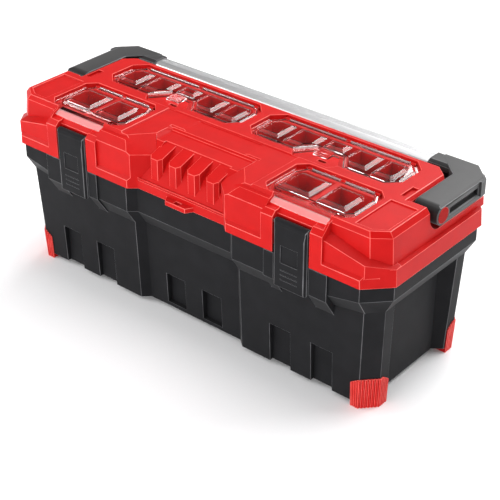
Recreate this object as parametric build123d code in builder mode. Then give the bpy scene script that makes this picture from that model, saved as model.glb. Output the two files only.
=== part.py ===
"""Long plastic tool box: black base, red lid with four organisers, folding handle and two latches.

Millimetres. +X is the right end, -Y the front with the latches, +Z up.
The origin lies on the floor under the middle of the box.
"""

import os

from build123d import *

# Walls and clearances
WALL = 3.0
RUNNING_FIT = 0.05
FIXED_FIT = 0.02
SIDE_PLAY = 0.6
SEAT_GAP = 0.3
SKIRT_PLAY = 1.7

# Lid skirt: half sizes and corner cuts
SKIRT_X = 376.0
SKIRT_Y = 145.7
SKIRT_CUT_X = 35.4
SKIRT_CUT_Y = 36.8
SKIRT_BOTTOM = 224.2
SKIRT_END_TOP = 252.5
SKIRT_LEAN = 1.5

# Base: half sizes at the floor and under the collar
BASE_BOTTOM = 8.0
BASE_BOTTOM_X = 350.5
BASE_BOTTOM_Y = 118.5
BASE_TOP_X = 357.0
BASE_TOP_Y = 125.0
BASE_CUT_X = 21.0
BASE_CUT_Y = 22.5
COLLAR_FOOT = 173.0
COLLAR_SHOULDER = 199.0
RIM_TOP = 236.0

# Front of the base: deep collar between the latches, posts beside them, recessed middle
APRON_X = 178.0
APRON_FOOT = 152.0
APRON_SHOULDER = 178.5
POST_OUT = 3.2
POST_FOOT = 147.0
POST_SHOULDER = 178.0
POST_WIDTH = 19.0
OUTER_POST_WIDTH = 32.0
MIDDLE_X = 95.0
MIDDLE_DEPTH = 11.4
MIDDLE_SLANT = 13.0

# Notches and end recesses of the base
NOTCH_WIDTH = 39.0
NOTCH_DEPTH = 8.5
NOTCH_TOP = 78.0
NOTCH_PLACES = (184.0, 262.0)
MIDDLE_NOTCH_X = 38.0
MIDDLE_NOTCH_FOOT = 15.0
MIDDLE_NOTCH_TOP = 70.0
END_RECESS_Y = 64.0
END_RECESS_DEPTH = 17.0

# Feet
FOOT_TOP = 53.0
FOOT_OUT = 2.4
FOOT_INNER_X = 316.0
FOOT_INNER_Y = 78.7
FOOT_SLOPE = 11.0
RIB_PITCH = 4.0
RIB_GROOVE = 1.5
RIB_DEPTH = 1.1
RIBS_FRONT = 4
RIBS_CORNER = 6
RIBS_END = 4

# Lid body above the skirt
BODY_FOOT_X = 368.0
BODY_TOP_X = 364.2
BODY_Y = 125.4
BODY_CUT_X = 24.7
BODY_CUT_Y = 19.2
BEVEL_FOOT = 296.0
LID_TOP = 304.0
LID_TOP_X = 358.0
LID_TOP_Y = 121.0
LID_REAR_Y = 100.5
LID_REAR_TOP_Y = 93.0
LID_REAR_CORNER_X = 306.0
CHANNEL_X = 328.0
CHANNEL_FLOOR = 264.5
DECK_X = 276.0
DECK_Y = 142.5

# Front of the lid
PANEL_DEPTH = 4.0
PANEL_FOOT = 238.0
PANEL_SLOPE = 5.0
PANEL_INNER_X = 166.0
PANEL_OUTER_X = 275.0
SHOULDER_FOOT = 281.3
SHOULDER_MID_Y = 130.0
SHOULDER_MID = 297.0
FRONT_EDGE_Y = 113.0
LEVEL_1 = 301.6
OUTER_LEDGE_FOOT = (275.0, 261.5)
OUTER_LEDGE_RISE = (8.5, 4.8)

# Sunken middle of the lid top
LEVEL_1_X = 130.0
LEVEL_1_REAR_Y = 13.0
LEVEL_2 = 300.4
LEVEL_2_X = 60.0
LEVEL_3 = 296.3
LEVEL_3_X = 81.0

# Hand grip at the front middle of the lid
GRIP_X = 87.0
GRIP_FOOT = 243.0
GRIP_FOOT_Y = 131.0
GRIP_KNEE = 272.0
GRIP_KNEE_Y = 115.5
GRIP_TOP_Y = 90.0
RIB_SPACING = 37.5
RIB_COUNT = 4
RIB_HALF = 12.0
RIB_FRONT_HALF = 6.5
RIB_FRONT_Y = 128.5
RIB_FRONT_TOP = 282.7
RIB_REAR_Y = 86.0
CHEEK_FOOT = 282.0
GRIP_AHEAD = 24.0

# Padlock tab
HASP_X = 20.0
HASP_ROOT_X = 27.0
HASP_TOP = 232.0
HASP_HOLE = (11.0, 7.0)

# Hinge between lid and base
HINGE_X = 200.0
HINGE_Y = 144.8
HINGE_Z = 222.0
HINGE_BARREL = 4.2
HINGE_PIN = 2.0
HINGE_KNUCKLE = 11.0
HINGE_LUG = 10.0
LUG_OUT = 3.0

# Latches
LATCH_X = 220.5
LATCH_NOTCH = 33.0
LATCH_HALF = 30.0
LATCH_FRONT_Y = 149.0
LATCH_BACK_Y = 142.0
LATCH_PIVOT_Y = 141.0
LATCH_PIVOT_Z = 274.0
LATCH_ROUND = 6.8
LATCH_PIN = 2.0
LATCH_FOOT = 172.0
LATCH_WALL_Y = 133.5
CATCH_Z = 196.0
CATCH_OUT = 3.2
LATCH_MARK_HALF = 15.0
LATCH_INSET = (215.0, 243.0)
LATCH_INSET_DEPTH = 1.2
GRIP_LINES = 3
GRIP_LINE_FOOT = 186.5
GRIP_LINE_PITCH = 8.0
GRIP_LINE_WIDTH = 1.4
GRIP_LINE_DEPTH = 0.8

# Organisers: wells, tubs and clear covers
WELL_FLOOR = 294.5
WELL_EDGE = 8.0
REAR_WELL = (8.5, 291.5, 0.0, 88.0)
REAR_CUT = 20.0
FRONT_WELL = (142.0, 298.0, -118.0, -20.0)
FRONT_CUT = 14.0
FINGER_POCKET = (110.0, 190.0, 135.0, 170.0, 30.0)
FINGER_FORWARD = 14.0
TUB_FLANGE = 1.5
TUB_WALL = 1.6
REAR_TUB_FLOOR = 258.0
FRONT_TUB_FLOOR = 262.0
COVER_SHEET = 1.8
COVER_EDGE = 0.8
COVER_TOP = 301.6
RAISED_FOOT = 5.6
RAISED_TOP = 9.2
RAISED_FRONT = 8.4
RAISED_REAR = 1.2
RAISED_CORNER = (5.0, 17.0)
CORNER_RELIEF = (0.6, 6.2)
PAD_HEIGHT = 3.0
PAD_BEVEL = 7.4
PAD_WALL = 1.4
PAD_CORNER = (7.0, 11.5)
FRONT_PAD_CORNER = (5.0, 5.0)
POCKET_PAD_CORNER = (19.7, 22.5)
NO_CORNER = (0.5, 0.5)
REAR_PADS = ((22.0, 65.8, 16.5), (74.5, 124.7, 16.5), (133.5, 171.8, 40.0),
             (180.5, 229.2, 16.5), (238.0, 277.7, 16.5))
REAR_PAD_BACK = 66.0
REAR_DIVIDERS = (72.5, 130.5, 178.5, 235.5)
REAR_DIVIDER = 1.6
FRONT_PADS = ((157.2, 215.5, -97.8), (226.5, 278.0, -97.8))
FRONT_PAD_BACK = -44.2
FRONT_DIVIDERS = (218.0,)
FRONT_DIVIDER = 9.0
CATCH_SLOT = (147.0, 161.0, 9.0, 14.0)
COVER_PIN = 1.0
COVER_BARREL = 2.2
COVER_HINGE_Z = 298.2
COVER_HINGE_IN = 3.4
COVER_EAR = 8.0
COVER_KNUCKLE = 16.0
TAB_HALF = 49.0
TAB_FOLD = 27.0

# Carry handle
PIVOT_Y = 4.0
PIVOT_Z = 286.5
ARM_ROUND = 15.5
ARM_INNER_X = 330.0
ARM_OUTER_X = 372.4
ARM_NOTCH = 22.0
ARM_REAR_Y = 138.0
ARM_CORNER_Y = 111.0
ARM_ELBOW_X = 327.5
ARM_ELBOW_Y = 93.0
ARM_END_X = 277.0
PIVOT_PIN = 5.0
CAP_RADIUS = 12.3
CAP_THICK = 2.2
RAIL_FRONT_Y = 105.0
RAIL_REAR_Y = 135.0
RAIL_BOTTOM = 284.0
RAIL_TOP = 300.0
RAIL_WALL = 2.2
SLEEVE_WALL = 2.6
CAP_SEAT = 1.4
PIVOT_BOSS = 16.0
PIVOT_REACH = 21.0


def outline(half_x, front, rear, cut_x, cut_y):
    """Corner points of a rectangle with its four corners cut off."""
    return [
        (half_x - cut_x, -front), (half_x, -front + cut_y),
        (half_x, rear - cut_y), (half_x - cut_x, rear),
        (-half_x + cut_x, rear), (-half_x, rear - cut_y),
        (-half_x, -front + cut_y), (-half_x + cut_x, -front),
    ]


def flip(points, side):
    """The same outline for the right side, or mirrored for the left one."""
    return [(side * x, y) for x, y in points]


def taper(levels, mode=Mode.ADD):
    """Solid whose plan outline changes in straight lines from height to height."""
    for (low, low_points), (high, high_points) in zip(levels, levels[1:]):
        with BuildSketch(Plane.XY.offset(low)) as bottom:
            Polygon(*low_points)
        with BuildSketch(Plane.XY.offset(high)) as top:
            Polygon(*high_points)
        loft([bottom.sketch, top.sketch], ruled=True, mode=mode)


def prism_x(start, end, points, mode=Mode.ADD):
    """Straight prism along X over an outline given in (y, z)."""
    with BuildSketch(Plane.YZ.offset(min(start, end))) as profile:
        Polygon(*points)
    extrude(profile.sketch, amount=abs(end - start), mode=mode)


def skin_x(stations, mode=Mode.ADD):
    """Solid through (y, z) outlines at places along X, listed from left to right."""
    faces = []
    for place, points in stations:
        with BuildSketch(Plane.YZ.offset(place)) as section:
            Polygon(*points)
        faces.append(section.sketch)
    loft(faces, ruled=True, mode=mode)


def prism_y(start, end, points, mode=Mode.ADD):
    """Straight prism along Y over an outline given in (x, z)."""
    with BuildSketch(Plane.XZ.offset(-end)) as profile:
        Polygon(*points)
    extrude(profile.sketch, amount=end - start, mode=mode)


def prism_z(low, high, points, mode=Mode.ADD):
    """Upright prism over a plan outline."""
    with BuildSketch(Plane.XY.offset(low)) as profile:
        Polygon(*points)
    extrude(profile.sketch, amount=high - low, mode=mode)


def block(x, y, z, mode=Mode.ADD):
    """Box between pairs of limits."""
    corners = [(x[0], y[0]), (x[1], y[0]), (x[1], y[1]), (x[0], y[1])]
    prism_z(z[0], z[1], corners, mode)


def rod_x(start, end, y, z, radius, mode=Mode.ADD):
    """Round bar or bore along X."""
    with BuildSketch(Plane.YZ.offset(min(start, end))) as profile:
        with Locations((y, z)):
            Circle(radius)
    extrude(profile.sketch, amount=abs(end - start), mode=mode)


def finish(part, name):
    """Label a piece and write its file."""
    part.label = name
    export_step(part, f"parts/{name}.step")
    print(f"{name}: {len(part.solids())} solid(s), {part.volume / 1000:.1f} cm3")


os.makedirs("parts", exist_ok=True)

# Base form

COLLAR_X = SKIRT_X - WALL - SKIRT_PLAY
COLLAR_Y = SKIRT_Y - WALL - SKIRT_PLAY
COLLAR_CUT_X = SKIRT_CUT_X - SKIRT_PLAY
COLLAR_CUT_Y = SKIRT_CUT_Y - SKIRT_PLAY
LEAN = (BASE_TOP_Y - BASE_BOTTOM_Y) / (COLLAR_FOOT - BASE_BOTTOM)
CUT_LOSS = 0.6


def base_x(z):
    """Half length of the drafted base wall at a height."""
    return BASE_BOTTOM_X + LEAN * (z - BASE_BOTTOM)


def base_y(z):
    """Half depth of the drafted base wall at a height."""
    return BASE_BOTTOM_Y + LEAN * (z - BASE_BOTTOM)


def wall_outline(z, grow):
    """Plan outline of the drafted base wall, grown outward."""
    cut = CUT_LOSS * grow
    return outline(base_x(z) + grow, base_y(z) + grow, base_y(z) + grow,
                   BASE_CUT_X + cut, BASE_CUT_Y + cut)


def collar_outline(grow):
    """Plan outline of the collar, grown outward."""
    cut = CUT_LOSS * grow
    return outline(COLLAR_X + grow, COLLAR_Y + grow, COLLAR_Y + grow,
                   COLLAR_CUT_X + cut, COLLAR_CUT_Y + cut)


def front_gap(depth):
    """Everything in front of the middle of the base, set back by a depth."""
    far = SKIRT_Y + 4 * WALL
    return [
        (-far, 0), (-base_y(0) + depth, 0), (-base_y(APRON_FOOT) + depth, APRON_FOOT),
        (-COLLAR_Y + depth, APRON_SHOULDER), (-COLLAR_Y + depth, RIM_TOP + WALL),
        (-far, RIM_TOP + WALL),
    ]


def middle_recess(extra, mode):
    """The recessed middle of the base front, grown into the wall by an extra depth."""
    depth = MIDDLE_DEPTH + extra
    half = MIDDLE_X + extra / 2
    run = MIDDLE_SLANT * (depth + 1) / MIDDLE_DEPTH
    skin_x([
        (-half - run, front_gap(-1)), (-half, front_gap(depth)),
        (half, front_gap(depth)), (half + run, front_gap(-1)),
    ], mode)


def finger_notches(extra, mode):
    """Shallow notches low in the front and rear walls, grown by an extra depth."""
    half = NOTCH_WIDTH / 2 + extra
    far = base_y(NOTCH_TOP) + 2 * WALL
    for place in NOTCH_PLACES:
        for side in (1, -1):
            x = (side * place - half, side * place + half)
            z = (0, NOTCH_TOP + extra)
            back = base_y(BASE_BOTTOM) + 2 - NOTCH_DEPTH - extra
            block(x, (-far, -back), z, mode)
            block(x, (back, far), z, mode)
    for side in (1, -1):
        x = (side * MIDDLE_NOTCH_X - half, side * MIDDLE_NOTCH_X + half)
        z = (MIDDLE_NOTCH_FOOT - extra, MIDDLE_NOTCH_TOP + extra)
        back = base_y(MIDDLE_NOTCH_FOOT) - MIDDLE_DEPTH - NOTCH_DEPTH - extra
        block(x, (-far, -back), z, mode)


def end_recesses(extra, mode):
    """Tall recess in the middle of each end wall, open at the bottom."""
    back_x = base_x(BASE_BOTTOM) + 1.5 - END_RECESS_DEPTH - extra
    mouth_x = BASE_TOP_X + 2 * WALL
    back_y = END_RECESS_Y + extra / 2
    mouth_y = back_y + (mouth_x - back_x) * 13 / 17
    plan = [(mouth_x, -mouth_y), (back_x, -back_y), (back_x, back_y), (mouth_x, mouth_y)]
    for side in (1, -1):
        prism_z(0, COLLAR_FOOT + extra, flip(plan, side), mode)


with BuildPart() as base_form:
    taper([
        (BASE_BOTTOM, wall_outline(BASE_BOTTOM, 0)),
        (COLLAR_FOOT, wall_outline(COLLAR_FOOT, 0)),
        (COLLAR_SHOULDER, collar_outline(0)),
        (RIM_TOP, collar_outline(0)),
    ])

with BuildPart() as base_hollow:
    taper([
        (BASE_BOTTOM + WALL, wall_outline(BASE_BOTTOM, -WALL)),
        (COLLAR_FOOT, wall_outline(COLLAR_FOOT, -WALL)),
        (COLLAR_SHOULDER, collar_outline(-WALL)),
        (RIM_TOP + WALL, collar_outline(-WALL)),
    ])
    middle_recess(WALL, Mode.SUBTRACT)
    finger_notches(WALL, Mode.SUBTRACT)
    end_recesses(WALL, Mode.SUBTRACT)

# Base shell

with BuildPart() as base_shell:
    add(base_form.part)
    add(base_hollow.part, mode=Mode.SUBTRACT)
    apron_in = -base_y(APRON_FOOT) + WALL / 2
    prism_x(-APRON_X, APRON_X, [
        (apron_in, APRON_FOOT - 2), (-base_y(APRON_FOOT), APRON_FOOT),
        (-COLLAR_Y, APRON_SHOULDER), (-COLLAR_Y, COLLAR_SHOULDER + 4),
        (apron_in, COLLAR_SHOULDER + 4),
    ])
    post_y = COLLAR_Y + POST_OUT
    post = [
        (apron_in, POST_FOOT - 2), (-base_y(POST_FOOT), POST_FOOT), (-post_y, POST_SHOULDER),
        (-post_y, SKIRT_BOTTOM - SKIRT_PLAY), (apron_in, SKIRT_BOTTOM - SKIRT_PLAY),
    ]
    inner_post = LATCH_X - LATCH_NOTCH + WALL / 2
    outer_post = LATCH_X + LATCH_NOTCH - WALL / 2
    outer_end = outer_post + OUTER_POST_WIDTH
    corner_x = COLLAR_X - COLLAR_CUT_X
    slope_start = [
        (apron_in, 163), (-base_y(165), 165), (-COLLAR_Y, 188.5),
        (-COLLAR_Y, COLLAR_SHOULDER + 4), (apron_in, COLLAR_SHOULDER + 4),
    ]
    slope_end = [
        (apron_in, 172), (-base_y(COLLAR_FOOT), COLLAR_FOOT), (-COLLAR_Y, COLLAR_SHOULDER),
        (-COLLAR_Y, COLLAR_SHOULDER + 4), (apron_in, COLLAR_SHOULDER + 4),
    ]
    for side in (1, -1):
        prism_x(side * (inner_post - POST_WIDTH), side * inner_post, post)
        prism_x(side * outer_post, side * outer_end, post)
        ends = [(side * outer_end, slope_start), (side * corner_x, slope_end)]
        skin_x(sorted(ends))
        # Catch rib under which the latch snaps
        catch = [
            (-COLLAR_Y + 1, CATCH_Z), (-COLLAR_Y - CATCH_OUT, CATCH_Z),
            (-COLLAR_Y - CATCH_OUT, CATCH_Z + 4), (-COLLAR_Y + 1, CATCH_Z + 9),
        ]
        prism_x(side * (LATCH_X - LATCH_HALF + 6), side * (LATCH_X + LATCH_HALF - 6), catch)
    middle_recess(0, Mode.SUBTRACT)
    finger_notches(0, Mode.SUBTRACT)
    end_recesses(0, Mode.SUBTRACT)
    # Hinge lugs and the pockets for the lid's knuckles
    lug = [
        (COLLAR_Y - 1, HINGE_Z - 20), (HINGE_Y + LUG_OUT, HINGE_Z - 6),
        (HINGE_Y + LUG_OUT, HINGE_Z), (COLLAR_Y - 1, HINGE_Z + LUG_OUT),
    ]
    lug_in = HINGE_KNUCKLE + SIDE_PLAY
    for middle in (HINGE_X, -HINGE_X):
        for side in (1, -1):
            near = middle + side * lug_in
            far = near + side * HINGE_LUG
            prism_x(near, far, lug)
            rod_x(near, far, HINGE_Y, HINGE_Z, HINGE_BARREL)
        pocket = HINGE_BARREL + 0.8
        rod_x(middle - lug_in, middle + lug_in, HINGE_Y, HINGE_Z, pocket, Mode.SUBTRACT)
        reach = lug_in + HINGE_LUG + 1
        bore = HINGE_PIN + FIXED_FIT
        rod_x(middle - reach, middle + reach, HINGE_Y, HINGE_Z, bore, Mode.SUBTRACT)

finish(base_shell.part, "base_shell")

# Feet

def groove_marks():
    """Places of the upright grooves round one foot: point, turn and outward way."""
    corner_x = BASE_BOTTOM_X - BASE_CUT_X
    corner_y = BASE_BOTTOM_Y - BASE_CUT_Y
    marks = []
    for step in range(RIBS_FRONT):
        marks.append((corner_x - 1 - RIB_PITCH * step, BASE_BOTTOM_Y, 0, (0, 1)))
    for step in range(RIBS_CORNER):
        share = (step + 0.5) / RIBS_CORNER
        x = corner_x + BASE_CUT_X * share
        y = BASE_BOTTOM_Y - BASE_CUT_Y * share
        marks.append((x, y, 47, (0.68, 0.73)))
    for step in range(RIBS_END):
        marks.append((BASE_BOTTOM_X, corner_y - 1 - RIB_PITCH * step, 90, (1, 0)))
    return marks


def foot_groove(side_x, side_y, mark):
    """One leaning groove cut into a foot."""
    x, y, turn, way = mark
    faces = []
    for z in (-1, FOOT_TOP + 1):
        out = LEAN * (z - BASE_BOTTOM) + FOOT_OUT
        spot = (side_x * (x + way[0] * out), side_y * (y + way[1] * out))
        with BuildSketch(Plane.XY.offset(z)) as section:
            with Locations(spot):
                Rectangle(RIB_GROOVE, 2 * RIB_DEPTH, rotation=-side_x * side_y * turn)
        faces.append(section.sketch)
    loft(faces, ruled=True, mode=Mode.SUBTRACT)


def make_foot(side_x, side_y):
    """Red cap round one bottom corner, ribbed, under the corner of the base."""
    with BuildPart() as foot:
        taper([(0, wall_outline(0, FOOT_OUT)), (FOOT_TOP, wall_outline(FOOT_TOP, FOOT_OUT))])
        far_x = BASE_TOP_X + 2 * WALL
        far_y = BASE_TOP_Y + 2 * WALL
        keep = [
            (FOOT_INNER_X, far_y), (far_x, far_y), (far_x, FOOT_INNER_Y),
            (FOOT_INNER_X + 18, FOOT_INNER_Y), (FOOT_INNER_X, FOOT_INNER_Y + 18),
        ]
        with BuildSketch() as region:
            Polygon(*[(side_x * x, side_y * y) for x, y in keep])
        extrude(region.sketch, amount=FOOT_TOP, mode=Mode.INTERSECT)
        add(base_form.part, mode=Mode.SUBTRACT)
        front_slope = [
            (side_x * (FOOT_INNER_X - 1), FOOT_TOP - FOOT_SLOPE),
            (side_x * (FOOT_INNER_X + 1.5 * FOOT_SLOPE), FOOT_TOP + 1),
            (side_x * (FOOT_INNER_X - 1), FOOT_TOP + 1),
        ]
        low_y, high_y = sorted((side_y * (base_y(0) - 8), side_y * far_y))
        prism_y(low_y, high_y, front_slope, Mode.SUBTRACT)
        end_slope = [
            (side_y * (FOOT_INNER_Y - 1), FOOT_TOP - FOOT_SLOPE),
            (side_y * (FOOT_INNER_Y + 1.3 * FOOT_SLOPE), FOOT_TOP + 1),
            (side_y * (FOOT_INNER_Y - 1), FOOT_TOP + 1),
        ]
        prism_x(side_x * (base_x(0) - 8), side_x * far_x, end_slope, Mode.SUBTRACT)
        for mark in groove_marks():
            foot_groove(side_x, side_y, mark)
    return foot.part


for side_x, word_x in ((1, "right"), (-1, "left")):
    for side_y, word_y in ((-1, "front"), (1, "rear")):
        finish(make_foot(side_x, side_y), f"foot_{word_y}_{word_x}")

# Lid form


def lid_gap(depth):
    """Everything in front of the middle of the lid, set back by a depth."""
    far = SKIRT_Y + 4 * WALL
    low = SKIRT_BOTTOM - 2 * WALL
    high = LID_TOP + 2 * WALL
    return [(-far, low), (-SKIRT_Y + depth, low), (-SKIRT_Y + depth, high), (-far, high)]


def lid_middle(extra, mode):
    """The set-back middle of the lid front, grown into the wall by an extra depth."""
    depth = MIDDLE_DEPTH + extra
    half = GRIP_X + extra / 2
    run = MIDDLE_SLANT * (depth + 1) / MIDDLE_DEPTH
    skin_x([
        (-half - run, lid_gap(-1)), (-half, lid_gap(depth)),
        (half, lid_gap(depth)), (half + run, lid_gap(-1)),
    ], mode)


def latch_notches(extra, mode):
    """Notches for the latches, open to the front, with a sloping wall above each latch."""
    half = LATCH_NOTCH + extra
    low = SKIRT_BOTTOM - 2 * WALL if extra == 0 else RIM_TOP + SEAT_GAP
    back = -LATCH_WALL_Y + extra
    top = LATCH_PIVOT_Z + LATCH_ROUND + 2 - extra / 2
    far = -SKIRT_Y - 4 * WALL
    profile = [
        (far, low), (back, low), (back, top), (back + 12, top + 12),
        (back + 12, LID_TOP + WALL), (far, LID_TOP + WALL),
    ]
    for side in (1, -1):
        prism_x(side * LATCH_X - half, side * LATCH_X + half, profile, mode)


def pocket_points(front, inset, shift):
    """Plan points round the finger pocket of a rear organiser, from left to right."""
    near_left, near_right, far_left, far_right, depth = FINGER_POCKET
    back = REAR_WELL[2] + depth + inset
    return [
        (near_left - inset + shift, front), (far_left - inset + shift, back),
        (far_right + inset + shift, back), (near_right + inset + shift, front),
    ]


def organiser(well, cut, inset, rear_extra, shift, pocket):
    """Plan outline of an organiser well, inset, with or without its finger pocket."""
    x0, x1, y0, y1 = well
    left = x0 + inset + shift
    right = x1 - inset + shift
    front = y0 + inset
    rear = y1 - inset - rear_extra
    corner = cut - CUT_LOSS * inset
    points = [(left, front + corner), (left + corner, front)]
    if pocket:
        points += pocket_points(front, inset, shift)
    points += [
        (right - corner, front), (right, front + corner),
        (right, rear - corner), (right - corner, rear),
        (left + corner, rear), (left, rear - corner),
    ]
    return points


def raised(well, cut, inset, shift, pocket):
    """Plan outline of the raised middle of a cover, inset from its well."""
    x0, x1, y0, y1 = well
    left = x0 + inset + shift
    right = x1 - inset + shift
    front = y0 + inset + (0 if pocket else RAISED_FRONT)
    rear = y1 - inset - RAISED_REAR
    corner = cut - CUT_LOSS * inset
    loss, rear_y = RAISED_CORNER
    rear_x = cut - loss
    points = [(left, front + corner), (left + corner, front)]
    if pocket:
        points += pocket_points(front, inset, shift)
    points += [
        (right - corner, front), (right, front + corner),
        (right, rear - rear_y), (right - rear_x, rear),
        (left + rear_x, rear), (left, rear - rear_y),
    ]
    return points


REAR_SHIFT = -(REAR_WELL[0] + REAR_WELL[1])
FRONT_SHIFT = -(FRONT_WELL[0] + FRONT_WELL[1])
ORGANISERS = (
    ("rear_right", REAR_WELL, REAR_CUT, 0, True),
    ("rear_left", REAR_WELL, REAR_CUT, REAR_SHIFT, True),
    ("front_right", FRONT_WELL, FRONT_CUT, 0, False),
    ("front_left", FRONT_WELL, FRONT_CUT, FRONT_SHIFT, False),
)
LID_CEILING = WELL_FLOOR - WALL
BODY_LEAN = (BODY_FOOT_X - BODY_TOP_X) / (BEVEL_FOOT - SKIRT_END_TOP)
BODY_JOIN_X = BODY_FOOT_X - BODY_LEAN * (CHANNEL_FLOOR - SKIRT_END_TOP)
BODY_JOIN_Y = BODY_Y + BODY_LEAN * (BEVEL_FOOT - CHANNEL_FLOOR) / 2

with BuildPart() as lid_form:
    taper([
        (SKIRT_BOTTOM, outline(SKIRT_X, SKIRT_Y, SKIRT_Y, SKIRT_CUT_X, SKIRT_CUT_Y)),
        (SKIRT_END_TOP, outline(SKIRT_X - SKIRT_LEAN, SKIRT_Y, SKIRT_Y - SKIRT_LEAN,
                                SKIRT_CUT_X, SKIRT_CUT_Y)),
        (SKIRT_END_TOP + SKIRT_LEAN, outline(BODY_FOOT_X, SKIRT_Y - 7, DECK_Y,
                                             SKIRT_CUT_X, SKIRT_CUT_Y)),
    ])
    taper([
        (SKIRT_END_TOP - 2, outline(BODY_FOOT_X, BODY_JOIN_Y + 0.4, DECK_Y,
                                    BODY_CUT_X, BODY_CUT_Y)),
        (CHANNEL_FLOOR, outline(BODY_JOIN_X, BODY_JOIN_Y, DECK_Y, BODY_CUT_X, BODY_CUT_Y)),
    ])
    taper([
        (CHANNEL_FLOOR, outline(BODY_JOIN_X, BODY_JOIN_Y, LID_REAR_Y, BODY_CUT_X, BODY_CUT_Y)),
        (BEVEL_FOOT, outline(BODY_TOP_X, BODY_Y, LID_REAR_Y, BODY_CUT_X, BODY_CUT_Y)),
        (LID_TOP, outline(LID_TOP_X, LID_TOP_Y, LID_REAR_TOP_Y,
                          BODY_CUT_X - 2.3, BODY_CUT_Y - 3)),
    ])
    # Deck under the stowed rail
    rail_seat = RAIL_BOTTOM - SEAT_GAP
    block((-DECK_X, DECK_X), (LID_REAR_Y - 5, DECK_Y), (CHANNEL_FLOOR - 4, rail_seat))
    # Front wall between the outer panels, with its two shoulder slopes
    prism_x(-PANEL_OUTER_X, PANEL_OUTER_X, [
        (-SKIRT_Y, SKIRT_BOTTOM), (-SKIRT_Y, SHOULDER_FOOT), (-SHOULDER_MID_Y, SHOULDER_MID),
        (-FRONT_EDGE_Y, LEVEL_1), (-FRONT_EDGE_Y + 15, LEVEL_1),
        (-FRONT_EDGE_Y + 15, SKIRT_BOTTOM),
    ])
    # Outer ledges falling to the corners
    near, far = OUTER_LEDGE_FOOT
    near_rise, far_rise = OUTER_LEDGE_RISE
    panel_y = SKIRT_Y - PANEL_DEPTH
    corner_x = SKIRT_X - SKIRT_CUT_X + PANEL_DEPTH
    end_x = SKIRT_X - SKIRT_LEAN
    end_y = SKIRT_Y - SKIRT_CUT_Y
    stations = [
        (PANEL_OUTER_X - 1, [(-110, 240), (-panel_y, 240), (-panel_y, near),
                             (-BODY_JOIN_Y + 1, near + near_rise), (-110, near + near_rise)]),
        (corner_x, [(-100, 240), (-panel_y, 240), (-panel_y, far),
                    (-BODY_JOIN_Y + 5, far + far_rise), (-100, far + far_rise)]),
        (end_x - 0.4, [(-97, 240), (-end_y, 240), (-end_y, SKIRT_END_TOP),
                       (-end_y + 6, SKIRT_END_TOP + 0.4), (-97, SKIRT_END_TOP + 0.4)]),
    ]
    skin_x(stations)
    skin_x([(-place, points) for place, points in reversed(stations)])

pocket_x = GRIP_X - (SKIRT_Y - MIDDLE_DEPTH - GRIP_KNEE_Y) * MIDDLE_SLANT / MIDDLE_DEPTH
wall_plan = [
    (pocket_x + 60, -SKIRT_Y - 20), (pocket_x + 7, -GRIP_KNEE_Y + 3),
    (pocket_x + 7, -GRIP_TOP_Y + 4), (-pocket_x - 7, -GRIP_TOP_Y + 4),
    (-pocket_x - 7, -GRIP_KNEE_Y + 3), (-pocket_x - 60, -SKIRT_Y - 20),
]

# Room that the hollow leaves for the walls of the hand grip
with BuildPart() as grip_wall:
    prism_x(-140, 140, [
        (-170, GRIP_FOOT - 6), (-GRIP_FOOT_Y + 2, GRIP_FOOT - 4),
        (-GRIP_KNEE_Y + 3.8, GRIP_KNEE - 1), (-GRIP_TOP_Y + 4, BEVEL_FOOT - 1),
        (-GRIP_TOP_Y + 4, LID_TOP), (-170, LID_TOP),
    ])
    prism_z(SKIRT_BOTTOM, LID_TOP, wall_plan, Mode.INTERSECT)
    prism_z(GRIP_KNEE + 6, LID_TOP, [
        (150, -161), (112, -FRONT_EDGE_Y + 3), (92, -84),
        (-92, -84), (-112, -FRONT_EDGE_Y + 3), (-150, -161),
    ])

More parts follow.
